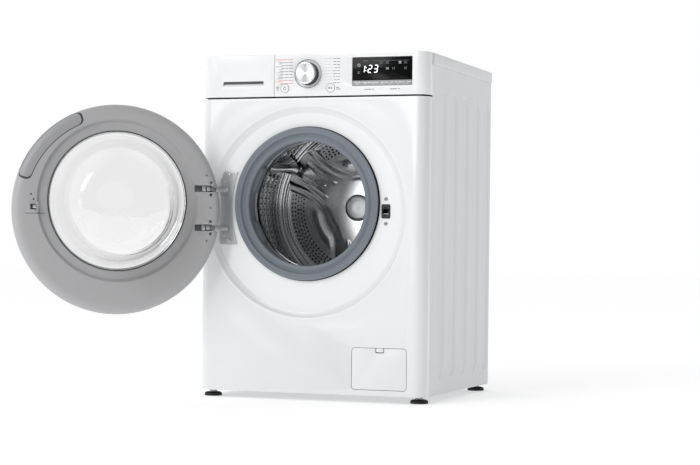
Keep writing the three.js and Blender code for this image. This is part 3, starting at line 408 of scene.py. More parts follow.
def galvanised():
    # hot dipped sheet: flat spangles about 8 mm across that catch the light differently
    material = finish("galvanised_sheet", "B9BCBE", 0.4, metallic=0.85)
    tree = material.node_tree
    shader = tree.nodes["Principled BSDF"]
    place = node(tree, "ShaderNodeTexCoord")
    spangle = node(tree, "ShaderNodeTexVoronoi", {"Scale": 1 / (8 * MM)}, {"Vector": (place, "Object")})
    tone = node(tree, "ShaderNodeSeparateColor", {}, {"Color": (spangle, "Color")})
    rough = node(tree, "ShaderNodeMapRange", {"To Min": 0.34, "To Max": 0.5}, {"Value": (tone, 0)})
    shade = node(tree, "ShaderNodeMix", {"data_type": "RGBA"}, {"Factor": (tone, 1)})
    shade.inputs["A"].default_value = srgb("B4B7BA")
    shade.inputs["B"].default_value = srgb("C3C6C8")
    tree.links.new(rough.outputs[0], shader.inputs["Roughness"])
    tree.links.new(shade.outputs["Result"], shader.inputs["Base Color"])
    return material


def spun_aluminium():
    # a face turned on a lathe: rings too fine to see that stretch the highlight into a fan
    material = finish("spun_aluminium", "CFD1D3", 0.28, metallic=1, Anisotropic=0.85)
    tree = material.node_tree
    tangent = node(tree, "ShaderNodeTangent", {"direction_type": "RADIAL", "axis": "Y"})
    tree.links.new(tangent.outputs[0], tree.nodes["Principled BSDF"].inputs["Tangent"])
    return material


def clear(name, colour, ior, roughness=0.0):
    # pressed glass or polycarbonate: clear, with a faint tint
    return finish(name, colour, roughness, ior=ior, **{"Transmission Weight": 1.0})


def dark_moulding(name, colour, roughness):
    return grain(finish(name, colour, roughness), 0.6, 0.01, rough=(roughness - 0.05, roughness + 0.08))


def lit(name, colour, strength):
    return finish(name, colour, 0.4, **{"Emission Color": srgb(colour), "Emission Strength": strength})


def cast_concrete():
    # cast ballast: sandy, with 3 mm grit and dull pores
    return grain(finish("cast_concrete", "9C9A95", 0.9), 3.0, 0.4, tint="85837E", detail=6.0)


ENAMEL = gloss_enamel()
SHADED_SIDE_ENAMEL = shaded_satin_enamel()
MELAMINE = melamine()
ABS = white_abs()
GREY = grey_polypropylene()
GREY_LIGHT = grain(finish("grey_grip_moulding", "A2A2A4", 0.4, ior=1.49), 0.5, 0.006)
RUBBER = gasket_rubber()
STAINLESS = polished_stainless()
DISHED = mirror_stainless()
ZINC = zinc_plate()
GALVANISED = galvanised()
SPUN = spun_aluminium()
GLASS = clear("borosilicate_glass", "FAFAFA", 1.47)
WINDOW = clear("clear_polycarbonate", "FAFAFA", 1.5, 0.01)
ACRYLIC = finish("black_acrylic", "060607", 0.12, ior=1.49, **{"Specular IOR Level": 0.15})
BLACK = dark_moulding("black_polypropylene", "1B1C1E", 0.42)
FOOT_RUBBER = dark_moulding("foot_rubber", "17181A", 0.6)
CHARCOAL = dark_moulding("charcoal_moulding", "46494C", 0.35)
HUB = grain(finish("satin_stainless", "E4E5E6", 0.38, metallic=1), 0.5, 0.002, rough=(0.34, 0.42))
CHROME = finish("chrome_plate", "D8DADC", 0.08, metallic=1)
INK = finish("grey_print", "62666B", 0.6)
INK_RED = finish("red_print", "D9727A", 0.6)
INK_DARK = finish("dark_print", "33363A", 0.6)
LED = lit("white_segments", "F2F6F8", 1.2)
CONCRETE = cast_concrete()
COPPER = grain(finish("enamelled_copper", "B5713C", 0.35, metallic=0.9), 1.0, 0.1, rough=(0.3, 0.5))
BOARD = grain(finish("solder_mask", "1F5C38", 0.4), 1.5, 0.03, tint="1B5232")
PALE_PP = grain(finish("filled_polypropylene", "C9CCD0", 0.5), 1.0, 0.03, tint="BFC3C7")
# painted shade: near-black flat spots and strips that stand in for the dark inside of holes, slots, pits and
# gaps
HOLE_SHADE = finish("hole_shadow", "050506", 0.9)


# ---- cabinet -------------------------------------------------------------------------------------

def front_depth(x):
    """How far back the front surface lies at x, on its rounded corners."""
    over = min(CORNER, max(0.0, abs(x) - (HALF - CORNER)))
    return CORNER - sqrt(CORNER * CORNER - over * over)


def front_outline(left, right, wall, wrap=None):
    """Plan of a sheet that turns round the front corners, from its left end to its right end."""
    wrap = wrap or WRAP
    outer, inner = [], []
    for line, radius in ((outer, CORNER), (inner, CORNER - wall)):
        edge = HALF - CORNER + radius
        if left <= -HALF:
            line += [(-edge, wrap)] + arc(CORNER - HALF, CORNER, radius, 180, 270, 14)
        else:
            line += [(left, CORNER - radius)]
        if right >= HALF:
            line += arc(HALF - CORNER, CORNER, radius, 270, 360, 14) + [(edge, wrap)]
        else:
            line += [(right, CORNER - radius)]
    return outer + inner[::-1]


def screw(name, x, y, z, radius, material=None, body="cabinet", cross=True):
    """A pan-head screw facing the front, with its sunk cross drawn as near-black bars just proud of the head:
    painted shade.
    """
    head = [(0, y), (0, y - radius * 0.5), (radius * 0.55, y - radius * 0.48),
            (radius * 0.9, y - radius * 0.28),
            (radius, y)]
    made = turned(name, head, (x, z), material or ZINC, body, steps=24)
    if not cross:
        return [made]
    bars = []
    for w, h in ((radius * 0.62, radius * 0.13), (radius * 0.13, radius * 0.62)):
        bars.append(prism(name + "_cross", rounded(x - w, x + w, z - h, z + h, h * 0.9, 2), "y",
                          y - radius * 0.51, y - radius * 0.3, HOLE_SHADE, body))
    return [made] + bars


def front_panel():
    """The front sheet round its corners, with the porthole dish pressed into it."""
    skin = prism("front_panel", front_outline(-HALF, HALF, STEEL), "z", PANEL_LOW, PANEL_TOP, ENAMEL)
    flap_low, flap_high = span("filter_flap")
    hole = prism("hole", rounded(flap_low.x - 1, flap_high.x + 1, flap_low.z - 1, flap_high.z + 1, 9), "y",
                 -5, 12)
    carve(skin, drill(RECESS.x, RECESS.z, DISH_EDGE, -5, 12, steps=160), hole)
    bevel(skin, 0.5, 2)
    outer = DISH_EDGE
    lip = [(outer, 0), (outer - 2, 0), (outer - 4.5, 0.25), (outer - 6.5, 1.2), (outer - 13, 8.2),
           (outer - 15.5, 10.6),
           (outer - 18, 11.7), (outer - 21, 12)]
    rise = GASKET.z - RECESS.z
    floor = [(PORTHOLE + 5, 12, rise), (PORTHOLE + 2, 12.3, rise), (PORTHOLE + 0.6, 13.4, rise),
             (PORTHOLE, 15, rise), (PORTHOLE, 22, rise), (PORTHOLE + 1.2, 22, rise),
             (PORTHOLE + 1.2, 14.4, rise)]
    back = [(outer - 22, 13.2), (outer - 8, 3.6), (outer - 4, 1.4), (outer, 1.2)]
    dish = turned("front_dish", lip + floor + back, DOOR_AXIS, ENAMEL, None, steps=192,
                  warp=lambda x, y, z: y + front_depth(x) * max(0, 1 - y / 12))
    carve(dish,
          prism("slot", rounded(LOCK.x - 11.5, LOCK.x + 11.5, LOCK.z - 17.5, LOCK.z + 17.5, 4), "y", 3, 20))
    made = merge("front_panel", [skin, dish])
    return dress(made, ENAMEL, "cabinet", ("front_panel",))


def side_panel(side):
    """The side sheet, with upright pressed-in channels whose ends are round."""
    name = "side_panel_right" if side > 0 else "side_panel_left"
    low, high = span(name)
    ribs = [(87 + 100 * i, 143 + 100 * i) for i in range(5)]
    rib_low, rib_high, deep, slope = 55, 765.7, 1.5, 5.0
    ys = {low.y, high.y - 3}
    for y0, y1 in ribs:
        ys.update(y0 + (y1 - y0) * i / 24 for i in range(25))
    ys = sorted(ys | {v + 22 for v in (43, 143, 243, 343, 443) if v + 22 < high.y - 3})
    zs = {low.z, high.z}
    for end, way in ((rib_low, 1), (rib_high, -1)):
        zs.update(end + way * v for v in (0, .4, 1, 1.8, 2.8, 4, 5.5, 7.5, 10, 13, 16, 19, 22, 25, 28, 32))
    zs = sorted(zs | {low.z + (high.z - low.z) * i / 10 for i in range(11)})

    def inset(y, z):
        for y0, y1 in ribs:
            centre, radius = (y0 + y1) / 2, (y1 - y0) / 2
            nearest = min(max(z, rib_low + radius), rib_high - radius)
            gap = radius - hypot(y - centre, z - nearest)
            if gap > 0:
                t = min(1, gap / slope)
                return deep * t * t * (3 - 2 * t)
        return 0

    turn = [(high.y - 3 + 3 * sin(a), 3 - 3 * cos(a)) for a in (0.4, 0.8, 1.2, pi / 2)]
    turn += [(high.y, 12)]
    columns = [(low.y, 1.2)] + [(y, None) for y in ys] + turn
    points = []
    for z in zs:
        points += [(side * (HALF - (inset(y, z) if x is None else x)), y, z) for y, x in columns]
    made = piece(name, points, quads(len(zs), len(columns)), SHADED_SIDE_ENAMEL, "cabinet", (name,), 50)
    modifier(made, "SOLIDIFY", thickness=0.9 * MM, offset=-1)
    return settle(made, 50)


def worktop():
    low, high = span("worktop")
    moulded("worktop", rounded(low.x, high.x, low.y, high.y, 7), "z", low.z, high.z, MELAMINE, "cabinet",
            ("worktop",),
            edge=3.0, segments=5)


def rear():
    """Rear sheet with its fitting holes, raised pads and louvres."""
    low, high = span("rear_panel")
    sheet = prism("rear_panel", rounded(low.x, high.x, low.z, high.z, 3), "y", low.y, high.y, GALVANISED)
    holes = [drill(RECESS.x, GASKET.z, half_width("rear_cover") - 18, low.y - 3, high.y + 3)]
    for fitting, room in (("inlet_valve", 15), ("drain_outlet", 14), ("cord_gland", 11)):
        x, z = FITTINGS[fitting]
        holes.append(drill(x, z, room, low.y - 3, high.y + 3, steps=32))
    carve(sheet, *holes)
    dress(sheet, GALVANISED, "cabinet", ("rear_panel",))
    for k, (x0, x1, z0, z1) in enumerate([(-255, -55, 690, 735), (25, 185, 690, 735), (-255, 185, 200, 260)]):
        moulded(f"rear_swage_{k}", rounded(x0, x1, z0, z1, 18), "y", high.y - 0.4, high.y + 2.2, GALVANISED,
                "cabinet",
                edge=2.0, segments=3)
    # each louvre: a near-black slot on the sheet, painted shade for the opening, under a pressed hood
    for k in range(9):
        x = -70 + 14 * k
        prism(f"rear_louvre_{k}", rounded(x, x + 6, 150, 185, 3), "y", high.y - 0.4, high.y + 0.3, HOLE_SHADE,
              "cabinet")
        moulded(f"rear_hood_{k}", rounded(x - 2.5, x + 1.5, 148, 187, 2), "y", high.y - 0.2, high.y + 1.8,
                GALVANISED, "cabinet", edge=0.8)


def rear_cover():
    """The dished plastic cover over the motor, with its six screws."""
    cover_low, cover_high = span("rear_cover")
    radius, back = half_width("rear_cover"), cover_high.y
    profile = [(0, back - 2.2), (60, back - 2.2), (66, back), (118, back), (124, back - 2.2),
               (138, back - 2.2),
               (146, cover_low.y + 1.4), (radius, cover_low.y + 1.4), (radius, cover_low.y),
               (144, cover_low.y),
               (136, back - 3.4), (0, back - 3.4)]
    turned("rear_cover", soften_open(profile, 3), (RECESS.x, GASKET.z), BLACK, "cabinet", ("rear_cover",))
    for k in range(6):
        a = TAU * (k + 0.5) / 6
        screw_back(f"cover_screw_{k}", RECESS.x + (radius - 6) * cos(a), cover_low.y + 1.4,
                   GASKET.z + (radius - 6) * sin(a), 4)


def rear_fasteners():
    """Caps in the four transit bolt holes and the screws round the rear sheet."""
    high = span("rear_panel")[1]
    for k, (x, z) in enumerate([(-175, 610), (145, 610), (-175, 330), (145, 330)]):
        cap = [(0, high.y + 4), (9, high.y + 4), (13, high.y + 2.8), (15, high.y + 0.3), (15, high.y - 0.3),
               (0, high.y - 0.3)]
        turned(f"transit_cap_{k}", soften_open(cap, 1), (x, z), ABS, "cabinet", steps=40)
        turned(f"transit_dimple_{k}",
               [(0, high.y + 4.3), (4.5, high.y + 4.3), (4.8, high.y + 3.6), (0, high.y + 3.6)],
               (x, z), GREY, "cabinet", steps=24)
    for k, (x, z) in enumerate([(s * 286, z) for s in (-1, 1) for z in (60, 250, 440, 630, 800)]
                               + [(x, 808) for x in (-150, 0, 150)] + [(x, 40) for x in (-150, 0, 150)]):
        screw_back(f"rear_screw_{k}", x, high.y, z, 4.2)


def screw_back(name, x, y, z, radius):
    """A hexagon washer-head screw facing the back."""
    turned(name, [(0, y + 1.4), (radius * 0.7, y + 1.4), (radius * 1.3, y + 0.9), (radius * 1.45, y), (0, y)],
           (x, z), ZINC, "cabinet", steps=24)
    moulded(name + "_hexagon", arc(x, z, radius * 0.85, 0, 360, 6)[1:], "y", y + 1.3, y + 3.4, ZINC,
            "cabinet", edge=0.4)


def soften_open(profile, size):
    """Rounds the corners of a profile that runs out and back to the axis, leaving the axis ends alone."""
    kept = [p for p in soften(profile, size) if p[0] > 0.5]
    first, last = profile[0], profile[-1]
    return [tuple(first)] + kept + [tuple(last)]


def feet():
    """Rubber pads with a lock face and a threaded stem."""
    for k, place in enumerate(("front_left", "front_right", "rear_left", "rear_right")):
        name, body = "foot_" + place, f"foot_{k + 1}"
        spot = middle(name)
        radius = half_width(name)
        pad = [(0, 0), (radius - 1.5, 0), (radius, 1.2), (radius, 5), (radius - 1, 7.5), (radius - 5, 9.6),
               (0, 10)]
        upright(name, soften_open(pad, 0.8), spot.x, spot.y, FOOT_RUBBER, body, (name,))
        moulded(name + "_nut", arc(spot.x, spot.y, 10.5, 0, 360, 6)[1:], "z", 9.6, 15.5, ZINC, body)
        thread = []
        for k in range(10):
            thread += [(4.2, 15 + 1.5 * k), (5, 15.75 + 1.5 * k)]
        upright(name + "_stem", [(0, 15)] + thread + [(4.2, 30), (0, 30)], spot.x, spot.y, ZINC, body,
                steps=24)


def flap():
    """The filter flap, its finger tongue, the well behind it and the filter with its grip."""
    low, high = span("filter_flap")
    notch = prism("notch", rounded(FLAP_TAB - 11, FLAP_TAB + 11, high.z - 11.5, high.z + 8, 3.5), "y", -2, 9)
    moulded("filter_flap", rounded(low.x, high.x, low.z, high.z, 8), "y", 0, 2.6, ENAMEL, "flap",
            ("filter_flap",),
            edge=0.7, segments=3, cuts=(notch,))
    moulded("flap_tongue", rounded(FLAP_TAB - 9.4, FLAP_TAB + 9.4, high.z - 9.6, high.z + 0.2, 2.5), "y",
            0.7, 2.9,
            ENAMEL, "flap", segments=3)
    inside = prism("flap_well", rounded(low.x - 0.6, high.x + 0.6, 45, high.z + 0.6, 8.5), "y", 3.2, 3.6,
                   BLACK)
    spot = middle("pump_filter")
    carve(inside, drill(spot.x, spot.z, half_width("pump_filter") + 2, 0, 9, steps=48))
    dress(inside, BLACK, "cabinet")
    r = half_width("pump_filter")
    y = span("pump_filter")[0].y
    knob = [(0, y + 3), (r - 5, y + 3), (r - 4, y), (r - 1, y), (r, y + 1), (r, y + 40), (0, y + 40)]
    turned("pump_filter", soften_open(knob, 0.8), (spot.x, spot.z), GREY, "filter", ("pump_filter",),
           steps=64)
    moulded("pump_filter_grip", rounded(spot.x - r + 6, spot.x + r - 6, spot.z - 4, spot.z + 4, 3), "y", y,
            y + 3.2,
            GREY, "filter", edge=0.8)


def fittings():
    """The water inlet thread, the drain barb and the cord gland, as they show at the back."""
    x, z = FITTINGS["inlet_valve"]
    back = span("inlet_valve")[1].y
    start = DEPTH - 14
    thread = []
    for k in range(5):
        thread += [(12.1, back - 2 - 2 * k), (13, back - 3 - 2 * k)]
    profile = [(8, back), (12.1, back)] + thread + [(12.1, back - 12.4), (12.1, start), (8, start)]
    turned("inlet_spigot", profile, (x, z), ABS, "cabinet", steps=48)
    x, z = FITTINGS["drain_outlet"]
    back = span("drain_outlet")[1].y
    barb = [(9, back), (10.4, back), (12, back - 3), (11, back - 3.2), (12, back - 7), (11, back - 7.2),
            (11, start), (9, start)]
    turned("drain_spigot", barb, (x, z), GREY, "cabinet", steps=48)
    x, z = FITTINGS["cord_gland"]
    back = span("cord_gland")[1].y
    gland = [(4, back), (8, back), (9, back - 1), (9, DEPTH + 2.5), (13.5, DEPTH + 2.2), (14, DEPTH + 0.4),
             (14, DEPTH), (4, DEPTH)]
    turned("gland_collar", soften(gland, 0.5, 2), (x, z), BLACK, "cabinet", steps=48)


front_panel()
side_panel(-1)
side_panel(1)
worktop()
rear()
rear_cover()
rear_fasteners()
feet()
flap()
fittings()


# ---- console and detergent drawer ----------------------------------------------------------------

def console():
    """The console moulding with its window, knob and key holes."""
    high = span("control_panel")[1]
    shell = prism("control_panel", front_outline(SEAM, HALF, WALL), "z", CONSOLE_LOW, CONSOLE_TOP, ABS)
    cutters = [prism("window",
                     rounded(DISPLAY.x0 - 0.6, DISPLAY.x1 + 0.6, DISPLAY.low - 0.6, DISPLAY.top + 0.6, 2.5),
                     "y", -5, 9),
               drill(KNOB.x, KNOB.z, 35.2, -5, 9, steps=96)]
    cutters += [drill(x, z, 11.3, -5, 9, steps=64) for x, z in (POWER_KEY, START_KEY)]
    carve(shell, *cutters)
    bevel(shell, 0.9, 3)
    top = prism("console_top",
                [(SEAM, 1), (HALF - CORNER, 1)] + arc(HALF - CORNER, CORNER, CORNER - 1, 270, 360, 14)
                + [(HALF - 1, high.y), (SEAM, high.y)], "z", CONSOLE_TOP - 2.6, CONSOLE_TOP - 0.2, ABS)
    dress(merge("control_panel", [shell, top]), ABS, "cabinet", ("control_panel",))


class DISPLAY:
    x0, x1 = span("display_window")[0].x, span("display_window")[1].x
    low, split, top = span("display_strip")[0].z, span("display_window")[0].z, span("display_window")[1].z


def display():
    """A smoked window over the digits and a satin strip of touch keys below it."""
    for name, low, top, material in (("display_window", DISPLAY.split + 0.3, DISPLAY.top, ACRYLIC),
                                     ("display_strip", DISPLAY.low, DISPLAY.split - 0.3, GREY_LIGHT)):
        moulded(name, rounded(DISPLAY.x0, DISPLAY.x1, low, top, 2), "y", -0.3, 2, material, "cabinet",
                (name,), edge=0.35)


def bar(x, z, wide, tall, proud=PRINT_Y):
    """Corners of a flat bar just in front of a surface, for merging into one print mesh."""
    return [(x - wide / 2, proud, z - tall / 2), (x + wide / 2, proud, z - tall / 2),
            (x + wide / 2, proud, z + tall / 2), (x - wide / 2, proud, z + tall / 2)]


def print_mesh(name, bars, material, body="cabinet"):
    """One thin mesh from many flat outlines."""
    points = [p for b in bars for p in b]
    faces, at = [], 0
    for b in bars:
        faces.append(list(range(at, at + len(b))))
        at += len(b)
    made = piece(name, points, faces, material, None)
    modifier(made, "SOLIDIFY", thickness=PRINT_THICK * MM, offset=0)
    settle(made)
    return dress(made, material, body)


SEGMENTS = {"0": "abcdef", "1": "bc", "2": "abged", "3": "abgcd", "4": "fgbc", "5": "afgcd", "6": "afgedc",
            "7": "abc", "8": "abcdefg", "9": "abcdfg"}


def digit(symbol, x, z, wide, tall, thick, lean=0.14):
    """Slanted seven-segment figure: each segment is a bar with pointed ends."""
    half, t = tall / 2, thick / 2
    lines = {"a": ((0, tall), (wide, tall)), "g": ((0, half), (wide, half)), "d": ((0, 0), (wide, 0)),
             "f": ((0, tall), (0, half)), "b": ((wide, tall), (wide, half)),
             "e": ((0, half), (0, 0)), "c": ((wide, half), (wide, 0))}
    bars = []
    for segment in SEGMENTS[symbol]:
        (x0, z0), (x1, z1) = lines[segment]
        if z0 == z1:
            outline = [(x0 + t * .4, z0), (x0 + t * 1.4, z0 + t), (x1 - t * 1.4, z0 + t), (x1 - t * .4, z0),
                       (x1 - t * 1.4, z0 - t), (x0 + t * 1.4, z0 - t)]
        else:
            outline = [(x0, z0 - t * .4), (x0 + t, z0 - t * 1.4), (x0 + t, z1 + t * 1.4), (x0, z1 + t * .4),
                       (x0 - t, z1 + t * 1.4), (x0 - t, z0 - t * 1.4)]
        bars.append([(x + a + lean * b, PRINT_Y, z + b) for a, b in outline])
    return bars


def ring_bars(x, z, radius, thick, start=0, end=360, steps=24, proud=PRINT_Y):
    """A ring, or part of one, as flat outlines."""
    outer = arc(x, z, radius + thick / 2, start, end, steps)
    inner = arc(x, z, radius - thick / 2, start, end, steps)
    return [[(a[0], proud, a[1]), (b[0], proud, b[1]), (d[0], proud, d[1]), (c[0], proud, c[1])]
            for a, b, c, d in zip(outer, outer[1:], inner, inner[1:])]


def display_print():
    """The display's figures and icons, and the marks on the key strip."""
    left, base = DISPLAY.x0 + 24, (DISPLAY.split + DISPLAY.top) / 2 - 9
    figures = digit("1", left - 2, base, 8.5, 17, 2.2) + digit("2", left + 16, base, 8.5, 17, 2.2)
    figures += digit("3", left + 31, base, 8.5, 17, 2.2)
    figures += [bar(left + 10.8, base + 5, 2, 2), bar(left + 11.8, base + 12, 2, 2)]
    print_mesh("display_digits", figures, LED)
    rng = random.Random(4)
    icons, dim = [], []
    for k, (dx,
            dz) in enumerate([(-13, 9), (-13, -9), (44, 14), (44, -14), (60, 14), (60, 0), (60, -14),
                    (76, 14),
                                  (76, 0), (76, -14), (92, 14), (92, 0), (92, -14), (106, 14), (106, 0),
                                          (106, -14)]):
        x, z = left + 6 + dx, base + 9 + dz
        if k in (3, 6, 9, 12, 15, 7, 11):
            continue
        target = icons if k in (0, 5, 10) else dim
        if k % 3 == 0:
            target += ring_bars(x, z, 3.0, 0.9)
        elif k % 3 == 1:
            target += [bar(x, z + 2, 7, 0.9), bar(x, z, 5, 0.9), bar(x, z - 2, 7, 0.9)]
        else:
            target += [bar(x - 2.5, z, 0.9, 6), bar(x, z, 0.9, 4), bar(x + 2.5, z, 0.9, 6)]
    dim += [bar(left + 74, base + 28, 92, 0.5), bar(left + 10, base + 28, 14, 1.2)]
    print_mesh("display_icons", icons,
               finish("white_icons", "C9CED2", 0.4,
                      **{"Emission Color": srgb("C9CED2"), "Emission Strength": 0.35}))
    print_mesh("display_icons_dim", dim, finish("grey_icons", "767B80", 0.4))
    keys = []
    middle_z = (DISPLAY.low + DISPLAY.split) / 2
    x = DISPLAY.x0 + 7
    while x < DISPLAY.x1 - 8:
        wide = rng.choice((5, 7, 9, 11))
        keys += [bar(x + wide / 2, middle_z + 1, wide, 1.5)]
        x += wide + rng.choice((2, 2.5, 6))
    keys += [bar(DISPLAY.x0 + 13 + 21 * k, middle_z - 2.6, 6, 0.7) for k in range(7)]
    print_mesh("strip_marks", keys, finish("white_print", "F1F2F2", 0.5))


def panel_print():
    """Two columns of programme marks beside the knob, with leader lines, and small signs by the keys."""
    grey, red = [], []
    rng = random.Random(11)
    rows = [KNOB.z + 35 - 7.4 * k for k in range(9)]
    for k, z in enumerate(rows):
        target = red if k in (0, 7, 8) else grey
        x = KNOB.x - 40
        for _ in range(3):
            wide = rng.choice((8, 10, 12, 14))
            target.append(bar(x - wide / 2, z + 1.2, wide, 1.2))
            x -= wide + 1.6
            if x < KNOB.x - 76:
                break
        wide = rng.choice((10, 16, 20))
        target.append(bar(KNOB.x - 66 - wide / 2, z - 1.7, wide, 0.9))
        x = KNOB.x + 84
        for _ in range(2):
            wide = rng.choice((6, 8, 10))
            grey.append(bar(x - wide / 2, z + 0.6, wide, 1.3))
            x -= wide + 1.6
        grey.append(bar((x + KNOB.x + 40) / 2, z + 0.6, max(1, x - KNOB.x - 42), 0.35))
    for k in range(16):
        turn = radians(-62 + 124 * (k % 8) / 7 + (180 if k > 7 else 0))
        a, b = KNOB.x + 37.3 * cos(turn), KNOB.z + 37.3 * sin(turn)
        grey += ring_bars(a, b, 0.35, 0.7, steps=8)
    for x in (DISPLAY.x0 + 40, DISPLAY.x0 + 106):
        grey.append(bar(x, DISPLAY.low - 9, 18, 1.6))
        grey.append(bar(x + 14, DISPLAY.low - 9, 5, 1.6))
    x, z = POWER_KEY[0] - 19, POWER_KEY[1]
    grey += ring_bars(x, z + 1.5, 3.4, 0.9) + ring_bars(x, z + 1.5, 1.2, 0.8, steps=12)
    grey += [bar(x, z - 5.2, 7, 0.9), bar(START_KEY[0] + 20, START_KEY[1] - 3, 12, 1.4),
             bar(START_KEY[0] + 18, START_KEY[1] + 1, 8, 1.4)]
    print_mesh("panel_marks", [[(p[0], p[1] + 0.3, p[2]) for p in b] for b in grey], INK)
    print_mesh("panel_marks_red", [[(p[0], p[1] + 0.3, p[2]) for p in b] for b in red], INK_RED)


def knob():
    """A spun aluminium face in a polished rim, over a white skirt in a dark-edged seat."""
    x, z = KNOB.x, KNOB.z
    seat = [(28, 1.6), (34.2, 1.6), (34.6, 0.1), (35.1, 0.1), (35.1, 3), (28, 3)]
    turned("knob_seat", soften(seat, 0.2, 2), (x, z), ABS, "cabinet", ("knob_ring",))
    turned("knob_seat_edge", [(34.3, -0.25), (35.4, -0.25), (35.4, 0.5), (34.3, 0.5)], (x, z), CHARCOAL,
           "cabinet")
    front = span("program_knob")[0].y
    side = [(26.2, front + 1.6), (26.9, front + 2.4), (27, front + 5), (27, 0.2), (25, 0.2),
            (25, front + 1.6)]
    turned("program_knob", soften(side, 0.3, 2), (x, z), CHARCOAL, "knob", ("program_knob",))
    rim = [(22.8, front + 0.9), (23.6, front), (25.9, front), (26.8, front + 0.9), (27, front + 2.3),
           (25.5, front + 2.6), (22.8, front + 2.2)]
    turned("knob_rim", soften(rim, 0.4, 2), (x, z), CHROME, "knob")
    face = [(0, front + 1.5), (12, front + 1.3), (23.1, front + 0.8), (23.1, front + 3), (0, front + 3)]
    turned("knob_face", face, (x, z), SPUN, "knob")
    prism("knob_pointer", rounded(x - 0.7, x + 0.7, z + 15, z + 21.5, 0.6), "y", front + 0.6, front + 1.8,
          INK_DARK, "knob")
    # flutes drawn as thin black strips on the skirt: painted shade for the grooves
    flutes = []
    for k in range(60):
        a = TAU * k / 60
        flutes.append([(x + r * cos(a + t), y, z + r * sin(a + t)) for r, t, y in
                       ((27.02, -0.016, front + 5), (27.02, 0.016, front + 5), (27.02, 0.016, -0.5),
                        (27.02, -0.016, -0.5))])
    print_mesh("knob_flutes", flutes, BLACK, "knob")


def key(name, centre, body, sign):
    """A round press key in a thin grey ring, with its sign printed on it."""
    x, z = centre
    front = span(name)[0].y
    cap = [(0, front - 0.1), (8, front), (9.9, front + 0.35), (10.4, front + 1.1), (10.4, 4), (0, 4)]
    turned(name, soften_open(cap, 0.4), (x, z), ABS, body, (name,), steps=64)
    turned(name + "_ring", [(10.6, -0.35), (11.7, -0.35), (11.7, 1.6), (10.6, 1.6)], (x, z), GREY,
           "cabinet", steps=64)
    print_mesh(name + "_sign", [[(p[0], front - 0.16, p[2]) for p in b] for b in sign(x, z)], INK_DARK, body)


def power_sign(x, z):
    return ring_bars(x, z - 0.3, 3.6, 0.9, 125, 415) + [bar(x, z + 3, 0.95, 4)]


def start_sign(x, z):
    return [[(x - 4.4, 0, z - 2.8), (x - 4.4, 0, z + 2.8), (x - 0.2, 0, z)], bar(x + 1.6, z, 1, 5.2),
            bar(x + 3.8, z, 1, 5.2)]


def drawer():
    """The drawer front: a shell that turns round the left corner, with a slim slot for the fingers whose back
    is a charcoal strip of painted shade.
    """
    low, high = span("drawer_front")
    shell = prism("drawer_front", front_outline(-HALF, high.x, WALL, high.y), "z", low.z, high.z, ABS)
    grip = rounded(GRIP[0], GRIP[1], 773, 785, 3)
    carve(shell, prism("grip", grip, "y", -5, 9))
    bevel(shell, 0.9, 3)
    top = prism("drawer_top",
                [(high.x, 1), (CORNER - HALF, 1)] + arc(CORNER - HALF, CORNER, CORNER - 1, 270, 180, 14)
                + [(1 - HALF, high.y), (high.x, high.y)], "z", high.z - 2.6, high.z - 0.2, ABS)
    made = merge("drawer_front", [shell, top])
    dress(made, ABS, "drawer", ("drawer_front",))
    well = [(772, 0.5), (774.5, 1.4), (777, 3), (779.5, 6), (781.5, 11), (784, 14.5), (796, 15.5),
            (796, 17.2), (783, 17.2), (779, 12.5),
            (775, 5), (771, 2.6), (771, 0.9)]
    prism("drawer_grip_well", [(y, z) for z, y in well], "x", GRIP[0] - 1.5, GRIP[1] + 1.5, ABS, "drawer")
    for k, x in enumerate((GRIP[0] - 1.5, GRIP[1] + 0.3)):
        prism(f"drawer_grip_end_{k}", [(2.3, 769), (2.3, 796), (17.2, 796), (17.2, 769)], "x", x, x + 1.2,
              ABS, "drawer")
    # painted shade: a charcoal strip across the back of the finger slot
    painted_shade_strip = prism("drawer_grip_painted_shade", [(3, 780.6), (3, 784.8), (14, 784.8), (12, 781.6)], "x",
                  GRIP[0] + 0.5, GRIP[1] - 0.5, CHARCOAL)
    dress(painted_shade_strip, CHARCOAL, "drawer")


console()
display()
display_print()
panel_print()
knob()
key("power_button", POWER_KEY, "power_key", power_sign)
key("start_button", START_KEY, "start_key", start_sign)
drawer()


# ---- porthole: gasket, clamp, lock, hinge plate --------------------------------------------------

